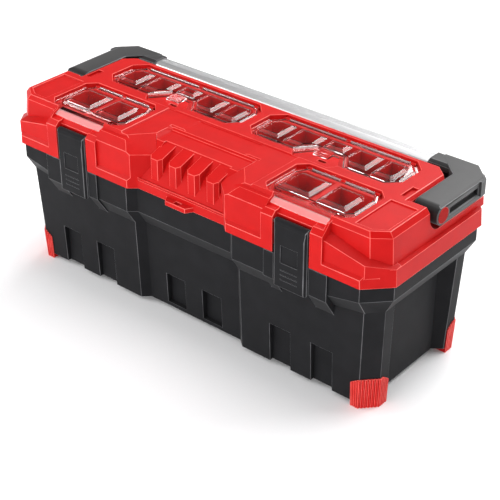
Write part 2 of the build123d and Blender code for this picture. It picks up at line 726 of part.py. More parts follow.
with BuildPart() as lid_hollow:
    skirt_in = SKIRT_CUT_X - CUT_LOSS * WALL
    taper([
        (SKIRT_BOTTOM - WALL, outline(SKIRT_X - WALL, SKIRT_Y - WALL, SKIRT_Y - WALL,
                                      skirt_in, skirt_in + 1.4)),
        (RIM_TOP + SEAT_GAP, outline(SKIRT_X - WALL, SKIRT_Y - WALL, SKIRT_Y - WALL,
                                     skirt_in, skirt_in + 1.4)),
    ])
    taper([
        (RIM_TOP + SEAT_GAP, outline(SKIRT_X - 4.5, panel_y - WALL, SKIRT_Y - 4.5,
                                     skirt_in + 1, skirt_in + 2)),
        (SKIRT_END_TOP - 2.5, outline(SKIRT_X - 4.5, panel_y - WALL, SKIRT_Y - 4.5,
                                      skirt_in + 1, skirt_in + 2)),
    ])
    taper([
        (SKIRT_END_TOP - 2.5, outline(BODY_FOOT_X - 4, BODY_Y - 3.5, DECK_Y - WALL,
                                      BODY_CUT_X, BODY_CUT_Y)),
        (CHANNEL_FLOOR - WALL, outline(BODY_JOIN_X - 4, BODY_Y - 3.5, DECK_Y - WALL,
                                       BODY_CUT_X, BODY_CUT_Y)),
    ])
    inner_x = CHANNEL_X - WALL - 0.5
    taper([
        (CHANNEL_FLOOR - WALL, outline(inner_x, BODY_Y - 4, LID_REAR_Y - 3.5, 12, 12)),
        (LID_CEILING, outline(inner_x, BODY_Y - 4, LID_REAR_Y - 3.5, 12, 12)),
    ])
    notch_y = PIVOT_Y - ARM_NOTCH
    end_pocket = [
        (inner_x - 1, notch_y - WALL - 0.5), (BODY_TOP_X - 4, notch_y - WALL - 0.5),
        (BODY_TOP_X - 4, -102.5), (BODY_TOP_X - 28, -BODY_Y + 4.4), (inner_x - 1, -BODY_Y + 4.4),
    ]
    for side in (1, -1):
        prism_z(CHANNEL_FLOOR - WALL - 1, LID_CEILING, flip(end_pocket, side))
    block((-DECK_X + WALL + 1, DECK_X - WALL - 1), (LID_REAR_Y - 5, DECK_Y - WALL),
          (CHANNEL_FLOOR - WALL - 1, rail_seat - WALL))
    front_in = panel_y - WALL
    low = RIM_TOP + SKIRT_PLAY + 1
    front_room = [
        (-front_in, low), (-front_in, SHOULDER_FOOT - 3), (-SHOULDER_MID_Y + 3, SHOULDER_MID - 10),
        (-SHOULDER_MID_Y + 10, LID_CEILING - 1), (-SHOULDER_MID_Y + 15, LID_CEILING - 1),
        (-SHOULDER_MID_Y + 15, low),
    ]
    for side in (1, -1):
        prism_x(side * 112, side * (PANEL_OUTER_X - 4), front_room)
    outer_room = [
        (PANEL_OUTER_X - 5, [(-front_in, low), (-front_in, near - 4), (-BODY_Y + 2, near + 3),
                             (-115, near + 3), (-115, low)]),
        (corner_x - 5, [(-front_in, low), (-front_in, far - 4), (-BODY_Y + 6, far - 1),
                        (-110, far - 1), (-110, low)]),
    ]
    skin_x(outer_room)
    skin_x([(-place, points) for place, points in reversed(outer_room)])
    latch_notches(WALL, Mode.SUBTRACT)
    lid_middle(WALL, Mode.SUBTRACT)
    add(grip_wall.part, mode=Mode.SUBTRACT)
    # Thinner roof over the plain parts of the lid top
    for side in (1, -1):
        x = sorted((side * (FRONT_WELL[1] + 4), side * inner_x))
        block(x, (notch_y + 4, REAR_WELL[3]), (LID_CEILING - 1, LID_TOP - 7.5))
        x = sorted((side * (inner_x - 14), side * (LID_TOP_X - 6)))
        block(x, (-100, notch_y - WALL - 1), (LID_CEILING - 1, LID_TOP - 6))
    block((-LEVEL_1_X + 5, LEVEL_1_X - 5), (-50, -LEVEL_1_REAR_Y - 3), (LID_CEILING - 1, LEVEL_2 - WALL))

# Pocket of the hand grip, its ribs and its sloping cheeks

with BuildPart() as grip_pocket:
    prism_x(-140, 140, [
        (-170, GRIP_FOOT), (-GRIP_FOOT_Y, GRIP_FOOT), (-GRIP_KNEE_Y, GRIP_KNEE),
        (-GRIP_TOP_Y, LEVEL_3 + 0.2), (-GRIP_TOP_Y, LID_TOP + WALL), (-170, LID_TOP + WALL),
    ])
    slope = MIDDLE_SLANT / MIDDLE_DEPTH
    mouth_x = GRIP_X + (GRIP_AHEAD + MIDDLE_DEPTH) * slope
    mouth_y = -SKIRT_Y - GRIP_AHEAD
    prism_z(SKIRT_BOTTOM, LID_TOP + WALL, [
        (mouth_x, mouth_y), (pocket_x, -GRIP_KNEE_Y), (pocket_x, -GRIP_TOP_Y + 8),
        (-pocket_x, -GRIP_TOP_Y + 8), (-pocket_x, -GRIP_KNEE_Y), (-mouth_x, mouth_y),
    ], Mode.INTERSECT)

cheek_low = [
    (pocket_x - 2, -GRIP_KNEE_Y), (pocket_x - 0.1, -GRIP_KNEE_Y), (pocket_x, -GRIP_KNEE_Y - 0.1),
    (pocket_x + 52, -SKIRT_Y - 15.5), (pocket_x - 2, -SKIRT_Y - 15.5),
]
cheek_high = [
    (pocket_x - 2, -88), (88, -88), (108, -110), (150, -SKIRT_Y - 15.5),
    (pocket_x - 2, -SKIRT_Y - 15.5),
]

with BuildPart() as grip_ribs:
    for index in range(RIB_COUNT):
        middle = (index - (RIB_COUNT - 1) / 2) * RIB_SPACING
        prism_z(GRIP_FOOT, LID_TOP, [
            (middle - RIB_FRONT_HALF, -RIB_FRONT_Y), (middle + RIB_FRONT_HALF, -RIB_FRONT_Y),
            (middle + RIB_HALF, -RIB_FRONT_Y + 6), (middle + RIB_HALF, -RIB_REAR_Y - 6),
            (middle + RIB_HALF - 5, -RIB_REAR_Y), (middle - RIB_HALF + 5, -RIB_REAR_Y),
            (middle - RIB_HALF, -RIB_REAR_Y - 6), (middle - RIB_HALF, -RIB_FRONT_Y + 6),
        ])
    rib_slope = (LEVEL_3 - RIB_FRONT_TOP) / (RIB_FRONT_Y - RIB_REAR_Y)
    prism_x(-140, 140, [
        (-GRIP_FOOT_Y + 1, GRIP_FOOT - 1), (-GRIP_KNEE_Y + 1.5, GRIP_KNEE - 1.5),
        (-GRIP_TOP_Y + 1.5, LEVEL_3 - 1.5), (-RIB_REAR_Y + 2, LEVEL_3 - 1.5),
        (-RIB_REAR_Y + 2, LEVEL_3 + 2 * rib_slope),
        (-RIB_FRONT_Y - 2, RIB_FRONT_TOP - 2 * rib_slope), (-RIB_FRONT_Y - 2, GRIP_FOOT - 1),
    ], Mode.INTERSECT)

# Lid shell

with BuildPart() as lid_shell:
    add(lid_form.part)
    add(lid_hollow.part, mode=Mode.SUBTRACT)
    lid_middle(0, Mode.SUBTRACT)
    # Recessed front panels, open towards the grip and the corners
    panel_cut = [
        (-SKIRT_Y - 20, PANEL_FOOT), (-SKIRT_Y, PANEL_FOOT),
        (-panel_y, PANEL_FOOT + PANEL_SLOPE), (-panel_y, LID_TOP), (-SKIRT_Y - 20, LID_TOP),
    ]
    for side in (1, -1):
        prism_x(side * (GRIP_X + 3), side * PANEL_INNER_X, panel_cut, Mode.SUBTRACT)
        prism_x(side * PANEL_OUTER_X, side * (corner_x + 6), panel_cut, Mode.SUBTRACT)
    latch_notches(0, Mode.SUBTRACT)
    tab_cut = [
        (-SKIRT_Y - 20, 288.5), (-SKIRT_Y + 14.2, 288.5), (-LID_TOP_Y, WELL_FLOOR + 0.5),
        (-LID_TOP_Y + 4, WELL_FLOOR + 0.5), (-LID_TOP_Y + 4, LID_TOP + WALL),
        (-SKIRT_Y - 20, LID_TOP + WALL),
    ]
    tab_middle = (FRONT_WELL[0] + FRONT_WELL[1]) / 2
    for side in (1, -1):
        start = side * tab_middle - TAB_HALF - 2
        prism_x(start, start + 2 * TAB_HALF + 4, tab_cut, Mode.SUBTRACT)
    # Sunken levels of the middle
    taper([
        (LEVEL_1, [(-LEVEL_1_X + 1.5, -170), (LEVEL_1_X - 1.5, -170),
                   (LEVEL_1_X - 1.5, -LEVEL_1_REAR_Y - 2.5),
                   (-LEVEL_1_X + 1.5, -LEVEL_1_REAR_Y - 2.5)]),
        (LID_TOP + 0.1, [(-LEVEL_1_X - 1, -170), (LEVEL_1_X + 1, -170),
                         (LEVEL_1_X + 1, -LEVEL_1_REAR_Y), (-LEVEL_1_X - 1, -LEVEL_1_REAR_Y)]),
    ], Mode.SUBTRACT)
    wing_x = LEVEL_3_X + 7
    level_2_low = [
        (-LEVEL_2_X, -16.5), (LEVEL_2_X, -16.5), (LEVEL_2_X, -53), (wing_x, -53),
        (wing_x, -57), (-wing_x, -57), (-wing_x, -53), (-LEVEL_2_X, -53),
    ]
    level_2_high = [
        (-LEVEL_2_X - 5, -15), (LEVEL_2_X + 5, -15), (LEVEL_2_X + 5, -52), (wing_x + 2, -52),
        (wing_x + 2, -57), (-wing_x - 2, -57), (-wing_x - 2, -52), (-LEVEL_2_X - 5, -52),
    ]
    taper([(LEVEL_2, level_2_low), (LEVEL_1 + 0.1, level_2_high)], Mode.SUBTRACT)
    over = LEVEL_1 + 0.2
    step_low = [
        (-55.5, LEVEL_2 + 0.2), (-58.5, LEVEL_2 - 2.1), (-60.5, LEVEL_2 - 2.2), (-63, LEVEL_3),
        (-96, LEVEL_3), (-96, LID_TOP + 3), (-55.5, LID_TOP + 3),
    ]
    step_high = [
        (-55.5, over), (-58.5, over), (-60.5, over), (-63, over),
        (-96, over), (-96, LID_TOP + 3), (-55.5, LID_TOP + 3),
    ]
    skin_x([
        (-LEVEL_3_X - 7.5, step_high), (-LEVEL_3_X, step_low),
        (LEVEL_3_X, step_low), (LEVEL_3_X + 7.5, step_high),
    ], Mode.SUBTRACT)
    # Hand grip
    add(grip_pocket.part, mode=Mode.SUBTRACT)
    for side in (1, -1):
        taper([
            (CHEEK_FOOT, flip(cheek_low, side)), (LEVEL_1 + 0.2, flip(cheek_high, side)),
        ], Mode.SUBTRACT)
    add(grip_ribs.part)
    # Groove under the grip and the padlock tab
    band_y = SKIRT_Y - MIDDLE_DEPTH
    block((-GRIP_X + 1, GRIP_X - 1), (-band_y - 1, -band_y + 1.2), (PANEL_FOOT + 1, PANEL_FOOT + 3),
          Mode.SUBTRACT)
    prism_z(SKIRT_BOTTOM, HASP_TOP, [
        (-HASP_ROOT_X, -band_y + 1), (-HASP_ROOT_X, -band_y), (-HASP_X, -SKIRT_Y),
        (HASP_X, -SKIRT_Y), (HASP_ROOT_X, -band_y), (HASP_ROOT_X, -band_y + 1),
    ])
    hole_x, hole_y = HASP_HOLE
    block((-hole_x / 2, hole_x / 2), (-SKIRT_Y + 2, -SKIRT_Y + 2 + hole_y),
          (SKIRT_BOTTOM - 1, HASP_TOP + 1), Mode.SUBTRACT)
    # Organiser wells and their openings
    for name, well, cut, shift, pocket in ORGANISERS:
        prism_z(WELL_FLOOR, LID_TOP + 1, organiser(well, cut, 0, 0, shift, False), Mode.SUBTRACT)
        prism_z(LID_CEILING - 2, WELL_FLOOR + 1, organiser(well, cut, WELL_EDGE, 3, shift, pocket),
                Mode.SUBTRACT)
        if pocket:
            near_left, near_right, far_left, far_right, depth = FINGER_POCKET
            prism_z(WELL_FLOOR, LID_TOP + 1, [
                (near_left + shift, well[2] + 1), (near_left + shift, -4 + well[2]),
                (near_left + 8 + shift, well[2] - FINGER_FORWARD),
                (near_right - 8 + shift, well[2] - FINGER_FORWARD),
                (near_right + shift, -4 + well[2]), (near_right + shift, well[2] + 1),
            ], Mode.SUBTRACT)
            # Slot that the tongue under the pull tab snaps into
            slot_left, slot_right, slot_front, slot_rear = CATCH_SLOT
            block((slot_left + shift, slot_right + shift), (well[2] + slot_front, well[2] + slot_rear),
                  (LID_CEILING - 2, WELL_FLOOR + 1), Mode.SUBTRACT)
    # Arm channels with a round mouth, and cut rear corners
    channel_top = LID_TOP + 2
    for side in (1, -1):
        start, stop = side * CHANNEL_X, side * (SKIRT_X + 4)
        prism_x(start, stop, [
            (PIVOT_Y, PIVOT_Z - ARM_NOTCH), (DECK_Y + 4, PIVOT_Z - ARM_NOTCH),
            (DECK_Y + 4, channel_top), (notch_y, channel_top), (notch_y, PIVOT_Z),
        ], Mode.SUBTRACT)
        rod_x(start, stop, PIVOT_Y, PIVOT_Z, ARM_NOTCH, Mode.SUBTRACT)
        prism_z(CHANNEL_FLOOR, channel_top, flip([
            (CHANNEL_X + 0.1, LID_REAR_TOP_Y - 20), (CHANNEL_X + 0.1, DECK_Y),
            (LID_REAR_CORNER_X - 8.2, DECK_Y), (LID_REAR_CORNER_X - 8.2, LID_REAR_TOP_Y + 7.5),
        ], side), Mode.SUBTRACT)
        # Light bevel along the channel edge
        edge = [
            (side * (CHANNEL_X + 1), LID_TOP - 5), (side * CHANNEL_X, LID_TOP - 5),
            (side * (CHANNEL_X - 4.6), LID_TOP + 0.1), (side * (CHANNEL_X + 1), LID_TOP + 0.1),
        ]
        prism_y(notch_y - 2, LID_REAR_TOP_Y - 18, edge, Mode.SUBTRACT)
        # Sunken end panel and the slot beside the arm
        panel_low = [(309.5, -33.5), (351, -33.5), (351, -101), (333.5, -112.5), (309.5, -112.5)]
        panel_high = [(307.5, -31.5), (353, -31.5), (353, -102), (334, -114.5), (307.5, -114.5)]
        taper([
            (LID_TOP - 2.5, flip(panel_low, side)), (LID_TOP + 0.1, flip(panel_high, side)),
        ], Mode.SUBTRACT)
        x = sorted((side * 311, side * 321))
        block(x, (-12, 18), (LID_TOP - 4, LID_TOP + 1), Mode.SUBTRACT)
        # Boss and bore for the handle pivot pin
        rod_x(side * (CHANNEL_X - PIVOT_BOSS), side * CHANNEL_X, PIVOT_Y, PIVOT_Z, PIVOT_PIN + 4)
        rod_x(side * (CHANNEL_X - PIVOT_BOSS - 1), side * (CHANNEL_X + 1), PIVOT_Y, PIVOT_Z,
              PIVOT_PIN + FIXED_FIT, Mode.SUBTRACT)
        # Bores for the latch pin in the notch walls
        reach = LATCH_NOTCH + WALL + 1
        rod_x(side * LATCH_X - reach, side * LATCH_X + reach, -LATCH_PIVOT_Y, LATCH_PIVOT_Z,
              LATCH_PIN + FIXED_FIT, Mode.SUBTRACT)
    # Ears for the cover hinge pins
    for name, well, cut, shift, pocket in ORGANISERS:
        hinge_y = well[3] - COVER_HINGE_IN
        first = well[0] + cut + COVER_EAR / 2 + shift
        last = well[1] - cut - COVER_EAR / 2 + shift
        for place in (first, (first + last) / 2, last):
            x = (place - COVER_EAR / 2, place + COVER_EAR / 2)
            rod_x(x[0], x[1], hinge_y, COVER_HINGE_Z, COVER_BARREL)
            block(x, (hinge_y - 1.5, well[3] + 0.5), (WELL_FLOOR - 0.5, COVER_HINGE_Z))
        rod_x(first - COVER_EAR, last + COVER_EAR, hinge_y, COVER_HINGE_Z,
              COVER_PIN + FIXED_FIT, Mode.SUBTRACT)
    # Rear skirt: slots for the base lugs, and the lid's own hinge knuckles
    slot_in = HINGE_KNUCKLE
    slot_out = HINGE_KNUCKLE + 2 * SIDE_PLAY + HINGE_LUG
    knuckle = [
        (SKIRT_Y - WALL, SKIRT_BOTTOM), (HINGE_Y + LUG_OUT, HINGE_Z), (HINGE_Y + LUG_OUT, HINGE_Z + 4),
        (SKIRT_Y - 1, HINGE_Z + 14), (SKIRT_Y - WALL, HINGE_Z + 14),
    ]
    for middle in (HINGE_X, -HINGE_X):
        for side in (1, -1):
            x = sorted((middle + side * slot_in, middle + side * slot_out))
            block(x, (SKIRT_Y - WALL - 1, SKIRT_Y + 1), (SKIRT_BOTTOM - 1, HINGE_Z + 6.5),
                  Mode.SUBTRACT)
        prism_x(middle - HINGE_KNUCKLE, middle + HINGE_KNUCKLE, knuckle)
        rod_x(middle - HINGE_KNUCKLE, middle + HINGE_KNUCKLE, HINGE_Y, HINGE_Z, HINGE_BARREL)
        rod_x(middle - HINGE_KNUCKLE - 1, middle + HINGE_KNUCKLE + 1, HINGE_Y, HINGE_Z,
              HINGE_PIN + RUNNING_FIT, Mode.SUBTRACT)

finish(lid_shell.part, "lid_shell")

# Hinge pins

for side, word in ((1, "right"), (-1, "left")):
    with BuildPart() as hinge_pin:
        half = HINGE_KNUCKLE + SIDE_PLAY + HINGE_LUG
        rod_x(side * HINGE_X - half, side * HINGE_X + half, HINGE_Y, HINGE_Z, HINGE_PIN)
    finish(hinge_pin.part, f"hinge_pin_{word}")

# Latches

for side, word in ((1, "right"), (-1, "left")):
    left = side * LATCH_X - LATCH_HALF
    right = side * LATCH_X + LATCH_HALF
    with BuildPart() as latch:
        prism_x(left, right, [
            (-LATCH_BACK_Y, LATCH_FOOT + 4), (-LATCH_FRONT_Y + 3, LATCH_FOOT),
            (-LATCH_FRONT_Y + 0.8, LATCH_FOOT + 1), (-LATCH_FRONT_Y, LATCH_FOOT + 4),
            (-LATCH_FRONT_Y, LATCH_PIVOT_Z - 12), (-LATCH_FRONT_Y + 1.4, LATCH_PIVOT_Z - 1),
            (-LATCH_BACK_Y, LATCH_PIVOT_Z - 1),
        ])
        rod_x(left, right, -LATCH_PIVOT_Y, LATCH_PIVOT_Z, LATCH_ROUND)
        # Front corners: slim bevels down both sides, rounded at the top
        for edge, inward in ((left, 1), (right, -1)):
            prism_z(LATCH_FOOT - 1, LATCH_PIVOT_Z + LATCH_ROUND + 1, [
                (edge - inward, -LATCH_FRONT_Y - 1), (edge + 4 * inward, -LATCH_FRONT_Y - 1),
                (edge + 4 * inward, -LATCH_FRONT_Y), (edge, -LATCH_FRONT_Y + 4),
                (edge - inward, -LATCH_FRONT_Y + 4),
            ], Mode.SUBTRACT)
        # Hollow back with the snap nose under the catch rib
        block((left + WALL, right - WALL), (-LATCH_FRONT_Y + WALL, -LATCH_BACK_Y + 1),
              (LATCH_FOOT + 7, LATCH_PIVOT_Z - LATCH_ROUND - 3), Mode.SUBTRACT)
        prism_x(left + 6, right - 6, [
            (-LATCH_FRONT_Y + 2, CATCH_Z - 8), (-LATCH_BACK_Y, CATCH_Z - 3),
            (-LATCH_BACK_Y, CATCH_Z - 0.8), (-LATCH_FRONT_Y + 2, CATCH_Z - 0.8),
        ])
        # Square inset and grip lines on the front
        middle = side * LATCH_X
        mark_x = (middle - LATCH_MARK_HALF, middle + LATCH_MARK_HALF)
        block(mark_x, (-LATCH_FRONT_Y - 1, -LATCH_FRONT_Y + LATCH_INSET_DEPTH), LATCH_INSET,
              Mode.SUBTRACT)
        for step in range(GRIP_LINES):
            low = GRIP_LINE_FOOT + GRIP_LINE_PITCH * step
            block(mark_x, (-LATCH_FRONT_Y - 1, -LATCH_FRONT_Y + GRIP_LINE_DEPTH),
                  (low, low + GRIP_LINE_WIDTH), Mode.SUBTRACT)
        rod_x(left - 1, right + 1, -LATCH_PIVOT_Y, LATCH_PIVOT_Z, LATCH_PIN + RUNNING_FIT,
              Mode.SUBTRACT)
    finish(latch.part, f"latch_{word}")
    with BuildPart() as latch_pin:
        half = LATCH_NOTCH + WALL
        rod_x(middle - half, middle + half, -LATCH_PIVOT_Y, LATCH_PIVOT_Z, LATCH_PIN)
    finish(latch_pin.part, f"latch_pin_{word}")

# Organiser tubs

for name, well, cut, shift, pocket in ORGANISERS:
    dividers = REAR_DIVIDERS if pocket else FRONT_DIVIDERS
    divider = REAR_DIVIDER if pocket else FRONT_DIVIDER
    floor = REAR_TUB_FLOOR if pocket else FRONT_TUB_FLOOR
    top = WELL_FLOOR + TUB_FLANGE
    wall_inset = WELL_EDGE + SIDE_PLAY
    with BuildPart() as tub:
        prism_z(WELL_FLOOR, top, organiser(well, cut, WELL_EDGE - 3, 3, shift, pocket))
        prism_z(floor, top, organiser(well, cut, wall_inset, 3, shift, pocket))
        with BuildSketch(Plane.XY.offset(floor + TUB_WALL)) as rooms:
            Polygon(*organiser(well, cut, wall_inset + TUB_WALL, 3, shift, pocket))
            for place in dividers:
                with Locations((place + shift, (well[2] + well[3]) / 2)):
                    Rectangle(divider, well[3] - well[2], mode=Mode.SUBTRACT)
        extrude(rooms.sketch, amount=top - floor, mode=Mode.SUBTRACT)
    finish(tub.part, f"tub_{name}")

# Clear covers

COVER_FOOT = COVER_HINGE_Z - COVER_SHEET


def pad_outline(place, back, corners, inset):
    """Plan outline of a pad, inset; corners in order front right, rear right, rear left, front left."""
    x0, x1, y0 = place
    left, right, front, rear = x0 + inset, x1 - inset, y0 + inset, back - inset
    kept = [(CUT_LOSS * inset / PAD_BEVEL * x, CUT_LOSS * inset / PAD_BEVEL * y) for x, y in corners]
    (ax, ay), (bx, by), (cx, cy), (dx, dy) = [
        (x - less_x, y - less_y) for (x, y), (less_x, less_y) in zip(corners, kept)
    ]
    return [
        (right - ax, front), (right, front + ay), (right, rear - by), (right - bx, rear),
        (left + cx, rear), (left, rear - cy), (left, front + dy), (left + dx, front),
    ]


def pad(place, back, corners):
    """Raised pad of a cover, with sloping sides."""
    taper([
        (COVER_TOP - 0.2, pad_outline(place, back, corners, 0)),
        (COVER_TOP + PAD_HEIGHT, pad_outline(place, back, corners, PAD_BEVEL)),
    ])


def pad_hollow(place, back, corners):
    """Room under a raised pad."""
    low = pad_outline(place, back, corners, PAD_WALL)
    prism_z(COVER_TOP - COVER_SHEET - 0.1, COVER_TOP, low, Mode.SUBTRACT)
    taper([
        (COVER_TOP, low),
        (COVER_TOP + PAD_HEIGHT - PAD_WALL, pad_outline(place, back, corners, PAD_BEVEL)),
    ], Mode.SUBTRACT)


def pads_of(pocket, shift):
    """Each pad of a cover as its place and its four corner cuts."""
    places = REAR_PADS if pocket else FRONT_PADS
    corners = [[NO_CORNER] * 4 for _ in places]
    corners[0][2] = PAD_CORNER
    corners[-1][1] = PAD_CORNER
    if pocket:
        corners[0][3] = corners[-1][0] = FRONT_PAD_CORNER
        corners[1][0] = corners[3][3] = POCKET_PAD_CORNER
    return [((x0 + shift, x1 + shift, y0), cuts) for (x0, x1, y0), cuts in zip(places, corners)]


for name, well, cut, shift, pocket in ORGANISERS:
    hinge_y = well[3] - COVER_HINGE_IN
    first = well[0] + cut + COVER_EAR / 2 + shift
    last = well[1] - cut - COVER_EAR / 2 + shift
    back = REAR_PAD_BACK if pocket else FRONT_PAD_BACK
    with BuildPart() as cover:
        plan = organiser(well, cut, COVER_EDGE, COVER_HINGE_IN - COVER_EDGE, shift, pocket)
        prism_z(COVER_FOOT, COVER_HINGE_Z, plan)
        taper([
            (COVER_HINGE_Z - 0.2, raised(well, cut, RAISED_FOOT, shift, pocket)),
            (COVER_TOP, raised(well, cut, RAISED_TOP, shift, pocket)),
        ])
        for place, corners in pads_of(pocket, shift):
            pad(place, back, corners)
        room = raised(well, cut, RAISED_FOOT + COVER_SHEET, shift, pocket)
        prism_z(COVER_FOOT - 1, COVER_HINGE_Z, room, Mode.SUBTRACT)
        taper([
            (COVER_HINGE_Z, room),
            (COVER_TOP - COVER_SHEET, raised(well, cut, RAISED_TOP, shift, pocket)),
        ], Mode.SUBTRACT)
        for place, corners in pads_of(pocket, shift):
            pad_hollow(place, back, corners)
        # Rear corners cut back, so that they swing clear of the well
        relief_x, relief_y = CORNER_RELIEF
        corner_y = (hinge_y - relief_y, well[3])
        corner_z = (COVER_FOOT - 1, COVER_TOP + 1)
        block((well[1] - cut - relief_x + shift, well[1] + shift), corner_y, corner_z, Mode.SUBTRACT)
        block((well[0] + shift, well[0] + cut + relief_x + shift), corner_y, corner_z, Mode.SUBTRACT)
        rod_x(first, last, hinge_y, COVER_HINGE_Z, COVER_BARREL)
        if pocket:
            # Ribbed pull tab in the finger pocket
            near_left, near_right, far_left, far_right, depth = FINGER_POCKET
            tab_back = well[2] + depth + RAISED_FOOT + 1
            tab_top = COVER_HINGE_Z + 1.2
            tab = (far_left - 2 + shift, far_right - 10 + shift)
            block(tab, (well[2] + 17, tab_back), (COVER_FOOT, tab_top))
            for step in range(4):
                y = well[2] + 18.5 + 3.4 * step
                block((tab[0] + 2, tab[1] - 2), (y, y + 1.4), (tab_top - 0.2, tab_top + 1))
        else:
            # Wide pull tab folded down over the latch, running out of the raised middle
            tab_middle = (well[0] + well[1]) / 2 + shift
            front = well[2]
            tab_side = [
                (front + RAISED_FOOT + RAISED_FRONT + 2, COVER_HINGE_Z + 2),
                (front + 4, COVER_HINGE_Z + 1.4), (front - 3.8, COVER_HINGE_Z),
                (front - 12.3, COVER_HINGE_Z - 6), (front - 11.2, COVER_HINGE_Z - 7.4),
                (front - 3.2, COVER_FOOT), (front + RAISED_FOOT + RAISED_FRONT + 1, COVER_FOOT),
            ]
            prism_x(tab_middle - TAB_FOLD, tab_middle + TAB_FOLD, tab_side)
            wing_side = [(y, z + 1.2) if y < front - 5 else (y, z) for y, z in tab_side]
            for side in (1, -1):
                ends = [(tab_middle + side * TAB_FOLD, tab_side),
                        (tab_middle + side * TAB_HALF, wing_side)]
                skin_x(sorted(ends))
        # Clearance for the lid's ears
        for place in (first, (first + last) / 2, last):
            half = COVER_EAR / 2 + SIDE_PLAY
            block((place - half, place + half), (hinge_y - COVER_BARREL - SIDE_PLAY, well[3]),
                  (COVER_FOOT - 1, COVER_HINGE_Z + COVER_BARREL + 1), Mode.SUBTRACT)
        rod_x(first - COVER_EAR, last + COVER_EAR, hinge_y, COVER_HINGE_Z,
              COVER_PIN + RUNNING_FIT, Mode.SUBTRACT)
    finish(cover.part, f"cover_{name}")
    with BuildPart() as cover_pin:
        half = COVER_EAR / 2
        rod_x(first - half, last + half, hinge_y, COVER_HINGE_Z, COVER_PIN)
    finish(cover_pin.part, f"cover_pin_{name}")

# Handle rail

RAIL_X = ARM_END_X + 24
rail_outline = [
    (RAIL_FRONT_Y, RAIL_BOTTOM), (RAIL_FRONT_Y, RAIL_TOP - 7), (RAIL_FRONT_Y + 3, RAIL_TOP - 3),
    (RAIL_FRONT_Y + 8, RAIL_TOP - 0.6), (RAIL_FRONT_Y + 13, RAIL_TOP), (RAIL_REAR_Y - 5, RAIL_TOP),
    (RAIL_REAR_Y - 1, RAIL_TOP - 1.4), (RAIL_REAR_Y, RAIL_TOP - 5), (RAIL_REAR_Y, RAIL_BOTTOM),
]

with BuildPart() as handle_rail:
    prism_x(-RAIL_X, RAIL_X, rail_outline)
    prism_x(-RAIL_X - 1, RAIL_X + 1, [
        (RAIL_FRONT_Y + RAIL_WALL, RAIL_BOTTOM + RAIL_WALL),
        (RAIL_FRONT_Y + RAIL_WALL, RAIL_TOP - 7.6), (RAIL_FRONT_Y + 9, RAIL_TOP - 3.2),
        (RAIL_REAR_Y - 6, RAIL_TOP - RAIL_WALL - 0.4), (RAIL_REAR_Y - RAIL_WALL, RAIL_TOP - 6),
        (RAIL_REAR_Y - RAIL_WALL, RAIL_BOTTOM + RAIL_WALL),
    ], Mode.SUBTRACT)
    for y in (RAIL_FRONT_Y + 14, RAIL_FRONT_Y + 17.5, RAIL_FRONT_Y + 21):
        block((-RAIL_X - 1, RAIL_X + 1), (y, y + 1.2), (RAIL_TOP - 0.7, RAIL_TOP + 1), Mode.SUBTRACT)

finish(handle_rail.part, "handle_rail")

# Handle arms, pivot pins and caps

ARM_TOP = PIVOT_Z + ARM_ROUND
ARM_FOOT = PIVOT_Z - ARM_ROUND

